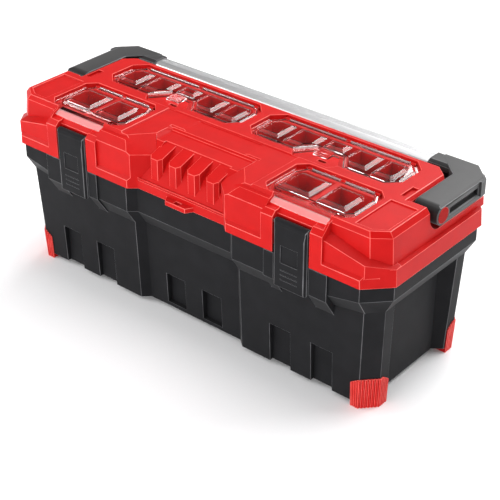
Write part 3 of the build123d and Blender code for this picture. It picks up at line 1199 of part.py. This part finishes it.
for side, word in ((1, "right"), (-1, "left")):
    with BuildPart() as arm:
        plan = [
            (ARM_INNER_X, PIVOT_Y), (ARM_OUTER_X, PIVOT_Y), (ARM_OUTER_X, ARM_CORNER_Y),
            (ARM_OUTER_X - ARM_REAR_Y + ARM_CORNER_Y, ARM_REAR_Y),
            (ARM_END_X + 12, ARM_REAR_Y), (ARM_END_X + 12, ARM_REAR_Y - 8),
            (ARM_ELBOW_X, ARM_ELBOW_Y), (ARM_INNER_X, ARM_ELBOW_Y - 2),
        ]
        prism_z(ARM_FOOT, ARM_TOP, flip(plan, side))
        rod_x(side * ARM_INNER_X, side * ARM_OUTER_X, PIVOT_Y, PIVOT_Z, ARM_ROUND)
        # Sleeve round the end of the rail
        sleeve = [
            (RAIL_FRONT_Y - SLEEVE_WALL, RAIL_BOTTOM), (RAIL_FRONT_Y - SLEEVE_WALL, RAIL_TOP - 7),
            (RAIL_FRONT_Y + 1, RAIL_TOP - 1.5), (RAIL_FRONT_Y + 7.5, ARM_TOP - 0.2),
            (ARM_REAR_Y - 3, ARM_TOP - 0.2), (ARM_REAR_Y, ARM_TOP - 3), (ARM_REAR_Y, RAIL_BOTTOM),
        ]
        prism_x(side * ARM_END_X, side * (ARM_END_X + 40), sleeve)
        # Bevels along the top edges of the outer side
        bevel_top = ARM_TOP + 0.1
        prism_y(-ARM_ROUND, ARM_REAR_Y + 1, [
            (side * (ARM_OUTER_X - 7.4), bevel_top), (side * (ARM_OUTER_X + 1), ARM_TOP - 2.4),
            (side * (ARM_OUTER_X + 1), bevel_top),
        ], Mode.SUBTRACT)
        # Long slot in the outer side and the seat of the red cap
        x = sorted((side * (ARM_OUTER_X - 6), side * (ARM_OUTER_X + 1)))
        block(x, (PIVOT_Y + 17, ARM_ELBOW_Y + 2), (PIVOT_Z - 5.5, PIVOT_Z + 5), Mode.SUBTRACT)
        rod_x(side * (ARM_OUTER_X - CAP_SEAT), side * (ARM_OUTER_X + 1), PIVOT_Y, PIVOT_Z,
              CAP_RADIUS + 0.1, Mode.SUBTRACT)
        # Proud block at the rear outer corner
        corner = [
            (ARM_OUTER_X - 2, ARM_ELBOW_Y + 3), (ARM_OUTER_X + 3.4, ARM_ELBOW_Y + 5),
            (ARM_OUTER_X + 3.4, ARM_CORNER_Y - 1), (ARM_OUTER_X - 8, ARM_CORNER_Y + 11),
            (ARM_OUTER_X - 10, ARM_CORNER_Y + 8), (ARM_OUTER_X - 2, ARM_CORNER_Y),
        ]
        prism_z(ARM_FOOT + 5, ARM_TOP - 1, flip(corner, side))
        # Room for the rail end and the pivot bore
        prism_x(side * (ARM_END_X - 1), side * RAIL_X, rail_outline, Mode.SUBTRACT)
        rod_x(side * (ARM_INNER_X - 1), side * (ARM_INNER_X + PIVOT_REACH + 1), PIVOT_Y, PIVOT_Z,
              PIVOT_PIN + RUNNING_FIT, Mode.SUBTRACT)
    finish(arm.part, f"handle_arm_{word}")
    with BuildPart() as pivot_pin:
        rod_x(side * (CHANNEL_X - PIVOT_BOSS), side * (ARM_INNER_X + PIVOT_REACH),
              PIVOT_Y, PIVOT_Z, PIVOT_PIN)
    finish(pivot_pin.part, f"pivot_pin_{word}")
    with BuildPart() as cap:
        cap_x = ARM_OUTER_X - CAP_SEAT
        rod_x(side * cap_x, side * (cap_x + CAP_THICK), PIVOT_Y, PIVOT_Z, CAP_RADIUS)
    finish(cap.part, f"pivot_cap_{word}")
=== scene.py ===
"""Looks of a long plastic tool box: black base, red lid, clear organiser covers, folding handle.

Laid out as an add-on and run as a script. Metres, +X the right end, -Y the front, +Z up.
"""

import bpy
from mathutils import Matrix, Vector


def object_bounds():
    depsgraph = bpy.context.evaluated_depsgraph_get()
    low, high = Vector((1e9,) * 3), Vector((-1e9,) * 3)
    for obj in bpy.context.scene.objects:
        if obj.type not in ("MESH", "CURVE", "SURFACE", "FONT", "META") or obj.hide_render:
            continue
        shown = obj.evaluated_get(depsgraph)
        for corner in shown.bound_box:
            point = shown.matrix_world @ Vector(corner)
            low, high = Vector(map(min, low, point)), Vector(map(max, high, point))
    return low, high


bl_info = {
    "name": "Tool box looks",
    "version": (1, 0, 0),
    "blender": (4, 5, 0),
    "location": "View3D > Sidebar > Tool box",
    "description": "Dresses a packed tool box in moulded plastic and sets it in a light studio",
    "category": "Object",
}

import math

import bpy
from bpy.props import FloatProperty, FloatVectorProperty, PointerProperty
from mathutils import Euler, Vector

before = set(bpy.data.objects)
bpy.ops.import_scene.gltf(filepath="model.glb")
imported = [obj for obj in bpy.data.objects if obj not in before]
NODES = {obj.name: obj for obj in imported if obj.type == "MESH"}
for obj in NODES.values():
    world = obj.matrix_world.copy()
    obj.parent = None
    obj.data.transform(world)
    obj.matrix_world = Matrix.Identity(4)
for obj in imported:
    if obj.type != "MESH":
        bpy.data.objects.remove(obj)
cad_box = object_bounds()

MM = 0.001
BOX_LOW, BOX_HIGH = cad_box
BOX_MIDDLE = (BOX_LOW + BOX_HIGH) / 2

# Which nodes are made of what
RED_NODES = [name for name in NODES if name.startswith(("foot_", "lid_"))]
CAP_NODES = [name for name in NODES if name.startswith("pivot_cap")]
TUB_NODES = [name for name in NODES if name.startswith("tub_")]
PIN_NODES = [name for name in NODES if "pin_" in name]
COVER_NODES = [name for name in NODES if name.startswith("cover_") and "pin_" not in name]
ARM_NODES = [name for name in NODES if name.startswith("handle_arm")]
LATCH_NODES = [name for name in NODES if name.startswith("latch_") and "pin_" not in name]

# An outer edge is rounded from the angle SHARP between its faces, by BLUNT_SHARE of the radius there
# and by all of it from SQUARE. From STEEP, or on a hollow edge from SHARP, its shading stays crisp
SHARP = math.radians(24)
SQUARE = math.radians(75)
STEEP = math.radians(50)
BLUNT_SHARE = 0.45

# How much of the shortest edge beside it a rounding may take, and how much more if that is rounded too
ROOM_SHARE = 0.42
ROUNDED_GAIN = 5.0

# Points nearer than this are one point, and faces that turn less than this are one face
WELD_REACH = 0.01 * MM
FLAT_TURN = math.radians(0.6)

# Rounding of the pieces that differ from the base and the lid
CAP_RADIUS = 0.6 * MM
TUB_RADIUS = 0.4 * MM
LATCH_RADIUS = 1.3 * MM
ARM_RADIUS = 1.5 * MM
RAIL_RADIUS = 0.4 * MM

# Grain of the moulding tools, drawn coarser than real so that it shows, and the width of flow marks
RED_GRAIN = 0.9 * MM
BLACK_GRAIN = 1.1 * MM
HANDLE_GRAIN = 1.0 * MM
TUB_GRAIN = 1.2 * MM
GRAIN_HEIGHT = 0.15 * MM
FLOW_WIDTH = 30 * MM

# Waves of a moulded clear sheet
SHEET_WAVE = 18 * MM
SHEET_HEIGHT = 0.2 * MM

# Width and run of the lines that an extrusion die and a wire die leave, and the size of paper fibre,
# all drawn coarser than real so that they show
DIE_LINE = 0.8 * MM
DIE_RUN = 830 * MM
DIE_HEIGHT = 0.1 * MM
DRAW_LINE = 0.3 * MM
DRAW_RUN = 50 * MM
PAPER_FIBRE = 6 * MM

# Front covers are frosted forward of this line, on the pull tab that hangs over the ledge
TAB_LINE = -120.5 * MM

# The studio: half size of its floor, then its pale walls and ceiling and the darker band between,
# as (height of direction, light)
FLOOR_REACH = 14.0
WALL_LEVEL = 0.45
BAND_LEVEL = 0.06
CEILING_LEVEL = 0.8
ROOM_BANDS = ((0.27, WALL_LEVEL), (0.37, BAND_LEVEL), (0.66, BAND_LEVEL), (0.8, CEILING_LEVEL))

# Softboxes as (name, power property, size, place, aim)
SOFTBOXES = (
    ("Rear softbox", "rear_power", (3.8, 1.5), (0.4, 2.1, 2.25), BOX_MIDDLE),
    ("Overhead", "top_power", (2.2, 1.8), (0.0, 0.7, 3.5), BOX_MIDDLE),
    ("Front wall", "front_power", (3.2, 1.2), (-0.4, -3.6, 0.9), BOX_MIDDLE),
    ("Right wall", "right_power", (1.6, 1.2), (3.4, -0.6, 0.9), BOX_MIDDLE),
    ("Left fill", "left_power", (1.6, 1.4), (-2.9, -1.9, 1.9), (-0.6, -0.6, 0.0)),
)

# Camera of the photograph, solved from the box's edges
CAMERA_PLACE = Vector((1.1934, -1.3889, 1.2098))
CAMERA_TURN = (math.radians(58.429), 0.0, math.radians(40.086))
CAMERA_LENS = 95.43
CAMERA_FILM = 36.0


def linear(code):
    """Linear colour with alpha from an sRGB hex value."""
    channels = [int(code[start:start + 2], 16) / 255 for start in (1, 3, 5)]
    bent = [c / 12.92 if c <= 0.04045 else ((c + 0.055) / 1.055) ** 2.4 for c in channels]
    return (*bent, 1.0)


def grey(level):
    """Linear grey with alpha."""
    return (level, level, level, 1.0)


def shade(colour, share):
    """A share of a linear colour, with alpha."""
    return (*(share * channel for channel in colour[:3]), 1.0)


def add_node(tree, kind, values=None, links=None, **settings):
    """Add one node with its own settings, its socket values and the links into it."""
    made = tree.nodes.new(kind)
    for name, value in settings.items():
        setattr(made, name, value)
    for socket, value in (values or {}).items():
        made.inputs[socket].default_value = value
    for socket, source in (links or {}).items():
        tree.links.new(source, made.inputs[socket])
    return made


def new_material(name):
    """An empty node material and its output."""
    material = bpy.data.materials.new(name)
    material.use_nodes = True
    tree = material.node_tree
    tree.nodes.clear()
    return material, tree, add_node(tree, "ShaderNodeOutputMaterial")


def moulded(name, base, patch, roughness, grain, depth, shine, sheen=0.0):
    """Injection-moulded plastic: broad flow marks or rubbed patches under a fine eroded grain."""
    material, tree, output = new_material(name)
    place = add_node(tree, "ShaderNodeTexCoord")
    flow = add_node(tree, "ShaderNodeTexNoise", {
        "Scale": 1 / FLOW_WIDTH, "Detail": 3.0, "Roughness": 0.55,
    }, {"Vector": place.outputs["Object"]})
    level = add_node(tree, "ShaderNodeMapRange", {"From Min": 0.35, "From Max": 0.65}, {
        "Value": flow.outputs["Fac"],
    })
    colour = add_node(tree, "ShaderNodeMix", {"A": base, "B": patch}, {
        "Factor": level.outputs["Result"],
    }, data_type="RGBA")
    sparks = add_node(tree, "ShaderNodeTexNoise", {
        "Scale": 1 / grain, "Detail": 2.0, "Roughness": 0.6,
    }, {"Vector": place.outputs["Object"]})
    bump = add_node(tree, "ShaderNodeBump", {"Strength": depth, "Distance": GRAIN_HEIGHT}, {
        "Height": sparks.outputs["Fac"],
    })
    gloss = add_node(tree, "ShaderNodeMapRange", {
        "To Min": roughness - 0.04, "To Max": roughness + 0.05,
    }, {"Value": sparks.outputs["Fac"]})
    shader = add_node(tree, "ShaderNodeBsdfPrincipled", {
        "IOR": 1.49, "Specular IOR Level": shine, "Sheen Weight": sheen, "Sheen Roughness": 0.4,
    }, {
        "Base Color": colour.outputs["Result"], "Roughness": gloss.outputs["Result"],
        "Normal": bump.outputs["Normal"],
    })
    tree.links.new(shader.outputs["BSDF"], output.inputs["Surface"])
    return material


def red_polypropylene(look):
    """Red polypropylene, moulded against a finely eroded tool: satin, with soft broad highlights; its
    rounded edges carry a painted highlight.
    """
    face = (*look.red_colour, 1.0)
    return [moulded("Red polypropylene, moulded", face, shade(face, 0.91), roughness=look.red_roughness,
                    grain=RED_GRAIN, depth=0.12, shine=0.1, sheen=0.05),
            # The rounded edges are painted a lighter pink all round: a painted highlight.
            moulded("Red polypropylene, rubbed edge", linear("#F0635A"), linear("#DC3A34"),
                    roughness=0.34, grain=RED_GRAIN, depth=0.05, shine=0.6)]


def cap_polypropylene():
    """Red polypropylene of the pivot caps, moulded thinner: a darker, satin red; its rounded edges carry a
    painted highlight.
    """
    return [moulded("Red polypropylene, cap", linear("#9C0F0C"), linear("#940E0C"),
                    roughness=0.4, grain=RED_GRAIN, depth=0.1, shine=0.03),
            # The caps' rounded edges are painted a lighter red: a painted highlight.
            moulded("Red polypropylene, cap edge", linear("#C83A34"), linear("#B02420"),
                    roughness=0.34, grain=RED_GRAIN, depth=0.05, shine=0.2)]


def tub_polystyrene():
    """Red polystyrene of the tubs, moulded in a polished tool: deeper red, a little glossier; its rounded
    edges carry a painted highlight.
    """
    return [moulded("Red polystyrene, polished", linear("#BE1410"), linear("#B4120E"),
                    roughness=0.3, grain=TUB_GRAIN, depth=0.05, shine=0.3),
            # The tubs' rounded edges are painted a lighter red: a painted highlight.
            moulded("Red polystyrene, edge", linear("#C8302A"), linear("#B02420"),
                    roughness=0.28, grain=TUB_GRAIN, depth=0.05, shine=0.4)]


def black_polypropylene(look):
    """Charcoal polypropylene, spark-eroded mould: matt, its rounded edges painted grey as a painted
    highlight.
    """
    face = (*look.black_colour, 1.0)
    return [moulded("Black polypropylene, eroded", face, shade(face, 0.8), roughness=look.black_roughness,
                    grain=BLACK_GRAIN, depth=0.2, shine=0.06, sheen=0.08),
            # The rounded edges are painted grey all round: a painted highlight.
            moulded("Black polypropylene, rubbed edge", linear("#5E5E61"), linear("#3A3A3C"),
                    roughness=0.4, grain=BLACK_GRAIN, depth=0.08, shine=0.5)]


def handle_polypropylene():
    """Black polypropylene of the handle arms, moulded smooth for the hand: satin, with grey sheen; its
    rounded edges are painted grey as a painted highlight.
    """
    return [moulded("Black polypropylene, satin", linear("#1E1C1D"), linear("#1A191A"),
                    roughness=0.36, grain=HANDLE_GRAIN, depth=0.1, shine=0.25, sheen=0.3),
            # The arms' rounded edges are painted grey: a painted highlight.
            moulded("Black polypropylene, handled edge", linear("#5A5A5D"), linear("#3A3A3C"),
                    roughness=0.32, grain=HANDLE_GRAIN, depth=0.05, shine=0.6)]


def clear_styrene():
    """Clear styrene (SAN), polished: sharp white reflections, light passes; pull tabs are frosted."""
    material, tree, output = new_material("Clear styrene, polished")
    place = add_node(tree, "ShaderNodeTexCoord")
    # Slight unevenness of a moulded sheet
    waves = add_node(tree, "ShaderNodeTexNoise", {"Scale": 1 / SHEET_WAVE, "Detail": 1.0}, {
        "Vector": place.outputs["Object"],
    })
    bump = add_node(tree, "ShaderNodeBump", {"Strength": 0.012, "Distance": SHEET_HEIGHT}, {
        "Height": waves.outputs["Fac"],
    })
    glass = add_node(tree, "ShaderNodeBsdfPrincipled", {
        "Base Color": linear("#FDFBFB"), "Roughness": 0.02, "IOR": 1.56, "Transmission Weight": 1.0,
    }, {"Normal": bump.outputs["Normal"]})
    # The eroded grain of a pull tab scatters light: milky, the red beneath still glows through
    frost = add_node(tree, "ShaderNodeBsdfPrincipled", {
        "Base Color": linear("#FBF1F1"), "Roughness": 0.3, "IOR": 1.56, "Transmission Weight": 0.93,
    })
    axes = add_node(tree, "ShaderNodeSeparateXYZ", links={"Vector": place.outputs["Object"]})
    tab = add_node(tree, "ShaderNodeMath", {1: TAB_LINE}, {0: axes.outputs["Y"]}, operation="LESS_THAN")
    solid = add_node(tree, "ShaderNodeMixShader", links={
        0: tab.outputs["Value"], 1: glass.outputs["BSDF"], 2: frost.outputs["BSDF"],
    })
    through = add_node(tree, "ShaderNodeBsdfTransparent", {"Color": linear("#F6E8E8")})
    path = add_node(tree, "ShaderNodeLightPath")
    both = add_node(tree, "ShaderNodeMixShader", links={
        0: path.outputs["Is Shadow Ray"], 1: solid.outputs["Shader"], 2: through.outputs["BSDF"],
    })
    tree.links.new(both.outputs["Shader"], output.inputs["Surface"])
    return material


def anodised_aluminium():
    """Aluminium extrusion, satin anodised: fine lines along its length stretch the highlight."""
    material, tree, output = new_material("Anodised aluminium, extruded")
    place = add_node(tree, "ShaderNodeTexCoord")
    stretch = add_node(tree, "ShaderNodeMapping", {"Scale": (1 / DIE_RUN, 1 / DIE_LINE, 1 / DIE_LINE)}, {
        "Vector": place.outputs["Object"],
    })
    lines = add_node(tree, "ShaderNodeTexNoise", {"Scale": 1.0, "Detail": 3.0}, {
        "Vector": stretch.outputs["Vector"],
    })
    tone = add_node(tree, "ShaderNodeMix", {"A": linear("#BEBEBF"), "B": linear("#D8D8D9")}, {
        "Factor": lines.outputs["Fac"],
    }, data_type="RGBA")
    bump = add_node(tree, "ShaderNodeBump", {"Strength": 0.15, "Distance": DIE_HEIGHT}, {
        "Height": lines.outputs["Fac"],
    })
    gloss = add_node(tree, "ShaderNodeMapRange", {"To Min": 0.32, "To Max": 0.46}, {
        "Value": lines.outputs["Fac"],
    })
    shader = add_node(tree, "ShaderNodeBsdfPrincipled", {"Metallic": 1.0}, {
        "Base Color": tone.outputs["Result"], "Roughness": gloss.outputs["Result"],
        "Normal": bump.outputs["Normal"],
    })
    tree.links.new(shader.outputs["BSDF"], output.inputs["Surface"])
    return material


def drawn_steel():
    """Drawn steel wire of the pins: grey, with faint draw lines along the pin."""
    material, tree, output = new_material("Steel wire, drawn")
    place = add_node(tree, "ShaderNodeTexCoord")
    stretch = add_node(tree, "ShaderNodeMapping", {"Scale": (1 / DRAW_RUN, 1 / DRAW_LINE, 1 / DRAW_LINE)}, {
        "Vector": place.outputs["Object"],
    })
    lines = add_node(tree, "ShaderNodeTexNoise", {"Scale": 1.0, "Detail": 2.0}, {
        "Vector": stretch.outputs["Vector"],
    })
    tone = add_node(tree, "ShaderNodeMix", {"A": linear("#8E8F91"), "B": linear("#B4B5B7")}, {
        "Factor": lines.outputs["Fac"],
    }, data_type="RGBA")
    shader = add_node(tree, "ShaderNodeBsdfPrincipled", {"Metallic": 1.0, "Roughness": 0.3}, {
        "Base Color": tone.outputs["Result"],
    })
    tree.links.new(shader.outputs["BSDF"], output.inputs["Surface"])
    return material


def backdrop_paper():
    """White seamless paper, uncoated: matt, with a fibre too faint to show a line."""
    material, tree, output = new_material("White paper, uncoated")
    place = add_node(tree, "ShaderNodeTexCoord")
    fibre = add_node(tree, "ShaderNodeTexNoise", {"Scale": 1 / PAPER_FIBRE, "Detail": 2.0}, {
        "Vector": place.outputs["Object"],
    })
    tone = add_node(tree, "ShaderNodeMix", {"A": linear("#FCFCFD"), "B": linear("#FEFEFF")}, {
        "Factor": fibre.outputs["Fac"],
    }, data_type="RGBA")
    shader = add_node(tree, "ShaderNodeBsdfPrincipled", {"Roughness": 0.95, "IOR": 1.3}, {
        "Base Color": tone.outputs["Result"],
    })
    tree.links.new(shader.outputs["BSDF"], output.inputs["Surface"])
    return material


def outer_edges(radius):
    """Node group that marks outer edges for rounding, less where the faces beside them are small."""
    tree = bpy.data.node_groups.new("Outer edges", "GeometryNodeTree")
    for way in ("INPUT", "OUTPUT"):
        tree.interface.new_socket(name="Geometry", in_out=way, socket_type="NodeSocketGeometry")
    entry = add_node(tree, "NodeGroupInput")
    angle = add_node(tree, "GeometryNodeInputMeshEdgeAngle")
    outer = add_node(tree, "FunctionNodeCompare", {"B": SHARP}, {
        "A": angle.outputs["Signed Angle"],
    }, operation="GREATER_THAN")
    ends = add_node(tree, "GeometryNodeInputMeshEdgeVertices")
    length = add_node(tree, "ShaderNodeVectorMath", links={
        0: ends.outputs["Position 1"], 1: ends.outputs["Position 2"],
    }, operation="DISTANCE")
    # A rounded neighbour gives way with the edge, so its length counts for more
    gain = add_node(tree, "ShaderNodeMath", {1: ROUNDED_GAIN, 2: 1.0}, {0: outer.outputs["Result"]},
                    operation="MULTIPLY_ADD")
    room = add_node(tree, "ShaderNodeMath", links={
        0: length.outputs["Value"], 1: gain.outputs["Value"],
    }, operation="MULTIPLY")
    nearest = add_node(tree, "GeometryNodeEdgesOfVertex", links={"Weights": room.outputs["Value"]})
    least = add_node(tree, "GeometryNodeFieldAtIndex", links={
        "Value": room.outputs["Value"], "Index": nearest.outputs["Edge Index"],
    }, domain="EDGE")
    sides = [add_node(tree, "GeometryNodeFieldAtIndex", links={
        "Value": least.outputs["Value"], "Index": ends.outputs[end],
    }, domain="POINT") for end in ("Vertex Index 1", "Vertex Index 2")]
    both = add_node(tree, "ShaderNodeMath", links={
        0: sides[0].outputs["Value"], 1: sides[1].outputs["Value"],
    }, operation="MINIMUM")
    share = add_node(tree, "ShaderNodeMath", {1: ROOM_SHARE / radius}, {0: both.outputs["Value"]},
                     operation="MULTIPLY", use_clamp=True)
    # A blunt edge is rounded less than a square one
    blunt = add_node(tree, "ShaderNodeMapRange", {
        "From Min": SHARP, "From Max": SQUARE, "To Min": BLUNT_SHARE,
    }, {"Value": angle.outputs["Signed Angle"]})
    fair = add_node(tree, "ShaderNodeMath", links={
        0: share.outputs["Value"], 1: blunt.outputs["Result"],
    }, operation="MULTIPLY")
    weight = add_node(tree, "ShaderNodeMath", links={
        0: fair.outputs["Value"], 1: outer.outputs["Result"],
    }, operation="MULTIPLY")
    marked = add_node(tree, "GeometryNodeStoreNamedAttribute", {"Name": "bevel_weight_edge"}, {
        "Geometry": entry.outputs["Geometry"], "Value": weight.outputs["Value"],
    }, domain="EDGE", data_type="FLOAT")
    plain = add_node(tree, "GeometryNodeRemoveAttribute", {"Name": "custom_normal"}, {
        "Geometry": marked.outputs["Geometry"],
    })
    smooth = add_node(tree, "GeometryNodeSetShadeSmooth", {"Shade Smooth": True}, {
        "Geometry": plain.outputs["Geometry"],
    }, domain="FACE")
    add_node(tree, "NodeGroupOutput", links={"Geometry": smooth.outputs["Geometry"]})
    return tree


def sharp_creases():
    """Node group that keeps the shading crisp across every edge too steep to be a curve."""
    tree = bpy.data.node_groups.new("Sharp creases", "GeometryNodeTree")
    for way in ("INPUT", "OUTPUT"):
        tree.interface.new_socket(name="Geometry", in_out=way, socket_type="NodeSocketGeometry")
    entry = add_node(tree, "NodeGroupInput")
    angle = add_node(tree, "GeometryNodeInputMeshEdgeAngle")
    steep = add_node(tree, "FunctionNodeCompare", {"B": STEEP}, {
        "A": angle.outputs["Unsigned Angle"],
    }, operation="GREATER_THAN")
    hollow = add_node(tree, "FunctionNodeCompare", {"B": -SHARP}, {
        "A": angle.outputs["Signed Angle"],
    }, operation="LESS_THAN")
    either = add_node(tree, "FunctionNodeBooleanMath", links={
        0: steep.outputs["Result"], 1: hollow.outputs["Result"],
    }, operation="OR")
    crisp = add_node(tree, "GeometryNodeSetShadeSmooth", {"Shade Smooth": False}, {
        "Geometry": entry.outputs["Geometry"], "Selection": either.outputs["Boolean"],
    }, domain="EDGE")
    add_node(tree, "NodeGroupOutput", links={"Geometry": crisp.outputs["Geometry"]})
    return tree


def soften(node, radius, marks, creases):
    """Round the outer edges of a CAD node by modifiers alone, in the second of its materials; on most
    pieces that paints the edges lighter, a painted highlight.
    """
    weld = node.modifiers.new("Weld", "WELD")
    weld.merge_threshold = WELD_REACH
    flat = node.modifiers.new("Flat faces", "DECIMATE")
    flat.decimate_type = "DISSOLVE"
    flat.angle_limit = FLAT_TURN
    node.modifiers.new("Triangles", "TRIANGULATE").min_vertices = 5
    node.modifiers.new("Outer edges", "NODES").node_group = marks
    rounding = node.modifiers.new("Rounded edges", "BEVEL")
    rounding.width = radius
    rounding.segments = 2
    rounding.limit_method = "WEIGHT"
    rounding.use_clamp_overlap = False
    # The rounded faces take the second material, on most pieces a lighter colour: a painted edge highlight.
    rounding.material = 1
    node.modifiers.new("Sharp creases", "NODES").node_group = creases
    normals = node.modifiers.new("Weighted normals", "WEIGHTED_NORMAL")
    normals.keep_sharp = True


def dress(names, materials, radius=0.0):
    """Give CAD nodes their face material and, with a radius, rounded edges in their own material, which on
    most pieces is a painted highlight.
    """
    marks = outer_edges(radius) if radius else None
    creases = sharp_creases() if radius else None
    for name in names:
        node = NODES[name]
        node.data.materials.clear()
        for material in materials:
            node.data.materials.append(material)
        if radius:
            soften(node, radius, marks, creases)


class BoxLook(bpy.types.PropertyGroup):
    """Sizes, colours and finishes that a user would change."""

    edge_radius: FloatProperty(
        name="Edge radius", description="Rounding of moulded edges", default=0.7 * MM,
        min=0.1 * MM, max=2 * MM, unit="LENGTH",
    )
    red_colour: FloatVectorProperty(
        name="Red", description="Colour of the red plastic", default=linear("#BE1110")[:3],
        min=0.0, max=1.0, subtype="COLOR",
    )
    black_colour: FloatVectorProperty(
        name="Black", description="Colour of the black plastic", default=linear("#1D1D1F")[:3],
        min=0.0, max=1.0, subtype="COLOR",
    )
    red_roughness: FloatProperty(
        name="Red roughness", description="Roughness of the red plastic", default=0.42,
        min=0.1, max=0.9, subtype="FACTOR",
    )
    black_roughness: FloatProperty(
        name="Black roughness", description="Roughness of the black plastic", default=0.5,
        min=0.1, max=0.9, subtype="FACTOR",
    )


class StageLook(bpy.types.PropertyGroup):
    """Powers of the studio's softboxes."""

    rear_power: FloatProperty(
        name="Rear light", description="Power of the softbox behind the box", default=96.0,
        min=0.0, unit="POWER",
    )
    top_power: FloatProperty(
        name="Top light", description="Power of the light overhead", default=38.0,
        min=0.0, unit="POWER",
    )
    front_power: FloatProperty(
        name="Front light", description="Power of the low light before the front", default=92.0,
        min=0.0, unit="POWER",
    )
    right_power: FloatProperty(
        name="Right light", description="Power of the low light beside the right end", default=26.0,
        min=0.0, unit="POWER",
    )
    left_power: FloatProperty(
        name="Left light", description="Power of the light that clears the floor at the left", default=52.0,
        min=0.0, unit="POWER",
    )


class TOOLBOX_OT_base(bpy.types.Operator):
    """Dress the black base"""

    bl_idname = "toolbox.base"
    bl_label = "Base"

    def execute(self, context):
        look = context.scene.toolbox_look
        dress(["base_shell"], black_polypropylene(look), look.edge_radius)
        return {"FINISHED"}


class TOOLBOX_OT_lid(bpy.types.Operator):
    """Dress the red lid with its tubs, the feet and the caps of the handle"""

    bl_idname = "toolbox.lid"
    bl_label = "Lid, tubs, feet and caps"

    def execute(self, context):
        look = context.scene.toolbox_look
        dress(RED_NODES, red_polypropylene(look), look.edge_radius)
        dress(CAP_NODES, cap_polypropylene(), CAP_RADIUS)
        dress(TUB_NODES, tub_polystyrene(), TUB_RADIUS)
        return {"FINISHED"}


class TOOLBOX_OT_covers(bpy.types.Operator):
    """Dress the four clear covers"""

    bl_idname = "toolbox.covers"
    bl_label = "Clear covers"

    def execute(self, context):
        dress(COVER_NODES, [clear_styrene()])
        return {"FINISHED"}


class TOOLBOX_OT_handle(bpy.types.Operator):
    """Dress the handle's arms and rail, the latches and all pins"""

    bl_idname = "toolbox.handle"
    bl_label = "Handle and latches"

    def execute(self, context):
        look = context.scene.toolbox_look
        dress(LATCH_NODES, black_polypropylene(look), LATCH_RADIUS)
        dress(ARM_NODES, handle_polypropylene(), ARM_RADIUS)
        dress(["handle_rail"], [anodised_aluminium()] * 2, RAIL_RADIUS)
        dress(PIN_NODES, [drawn_steel()])
        return {"FINISHED"}


def softbox(name, power, size, place, aim):
    """A white rectangular area light aimed at a point."""
    data = bpy.data.lights.new(name, "AREA")
    data.shape = "RECTANGLE"
    data.size, data.size_y = size
    data.energy = power
    lamp = bpy.data.objects.new(name, data)
    lamp.location = place
    lamp.rotation_euler = (Vector(aim) - Vector(place)).to_track_quat("-Z", "Y").to_euler()
    bpy.context.scene.collection.objects.link(lamp)


class TOOLBOX_OT_stage(bpy.types.Operator):
    """Lay the pale floor, light the studio and place the camera"""

    bl_idname = "toolbox.stage"
    bl_label = "Studio"

    def execute(self, context):
        look = context.scene.toolbox_stage
        mesh = bpy.data.meshes.new("studio_floor")
        corners = [(x * FLOOR_REACH, y * FLOOR_REACH, 0) for x, y in ((-1, -1), (1, -1), (1, 1), (-1, 1))]
        mesh.from_pydata(corners, [], [(0, 1, 2, 3)])
        floor = bpy.data.objects.new("studio_floor", mesh)
        floor.data.materials.append(backdrop_paper())
        context.scene.collection.objects.link(floor)
        for name, power, size, place, aim in SOFTBOXES:
            softbox(name, getattr(look, power), size, place, aim)
        world = bpy.data.worlds.new("Studio")
        world.use_nodes = True
        air = world.node_tree
        way = add_node(air, "ShaderNodeTexCoord")
        axes = add_node(air, "ShaderNodeSeparateXYZ", links={"Vector": way.outputs["Generated"]})
        bands = add_node(air, "ShaderNodeValToRGB", links={"Fac": axes.outputs["Z"]})
        stops = bands.color_ramp.elements
        stops[0].color = grey(WALL_LEVEL)
        stops[1].color = grey(CEILING_LEVEL)
        for height, level in ROOM_BANDS:
            stops.new(height).color = grey(level)
        air.links.new(bands.outputs["Color"], air.nodes["Background"].inputs["Color"])
        context.scene.world = world
        data = bpy.data.cameras.new("Photograph")
        data.lens = CAMERA_LENS
        data.sensor_width = CAMERA_FILM
        camera = bpy.data.objects.new("Photograph", data)
        camera.location = CAMERA_PLACE
        camera.rotation_euler = Euler(CAMERA_TURN)
        context.scene.collection.objects.link(camera)
        context.scene.camera = camera
        context.scene.view_settings.view_transform = "Standard"
        return {"FINISHED"}


class TOOLBOX_PT_panel(bpy.types.Panel):
    """Steps that dress the tool box"""

    bl_idname = "TOOLBOX_PT_panel"
    bl_label = "Tool box"
    bl_space_type = "VIEW_3D"
    bl_region_type = "UI"
    bl_category = "Tool box"

    def draw(self, context):
        column = self.layout.column()
        for step in STEPS:
            column.operator(step.bl_idname)
        for group in (context.scene.toolbox_look, context.scene.toolbox_stage):
            for name in group.__annotations__:
                column.prop(group, name)


STEPS = (TOOLBOX_OT_base, TOOLBOX_OT_lid, TOOLBOX_OT_covers, TOOLBOX_OT_handle, TOOLBOX_OT_stage)
CLASSES = (BoxLook, StageLook, *STEPS, TOOLBOX_PT_panel)


def register():
    """Make the steps, the panel and their settings known."""
    for kind in CLASSES:
        bpy.utils.register_class(kind)
    bpy.types.Scene.toolbox_look = PointerProperty(type=BoxLook)
    bpy.types.Scene.toolbox_stage = PointerProperty(type=StageLook)


def unregister():
    """Take them away again."""
    del bpy.types.Scene.toolbox_stage
    del bpy.types.Scene.toolbox_look
    for kind in reversed(CLASSES):
        bpy.utils.unregister_class(kind)


def main():
    """Dress the box and set the studio."""
    register()
    bpy.ops.toolbox.base()
    bpy.ops.toolbox.lid()
    bpy.ops.toolbox.covers()
    bpy.ops.toolbox.handle()
    bpy.ops.toolbox.stage()


if __name__ == "__main__":
    main()
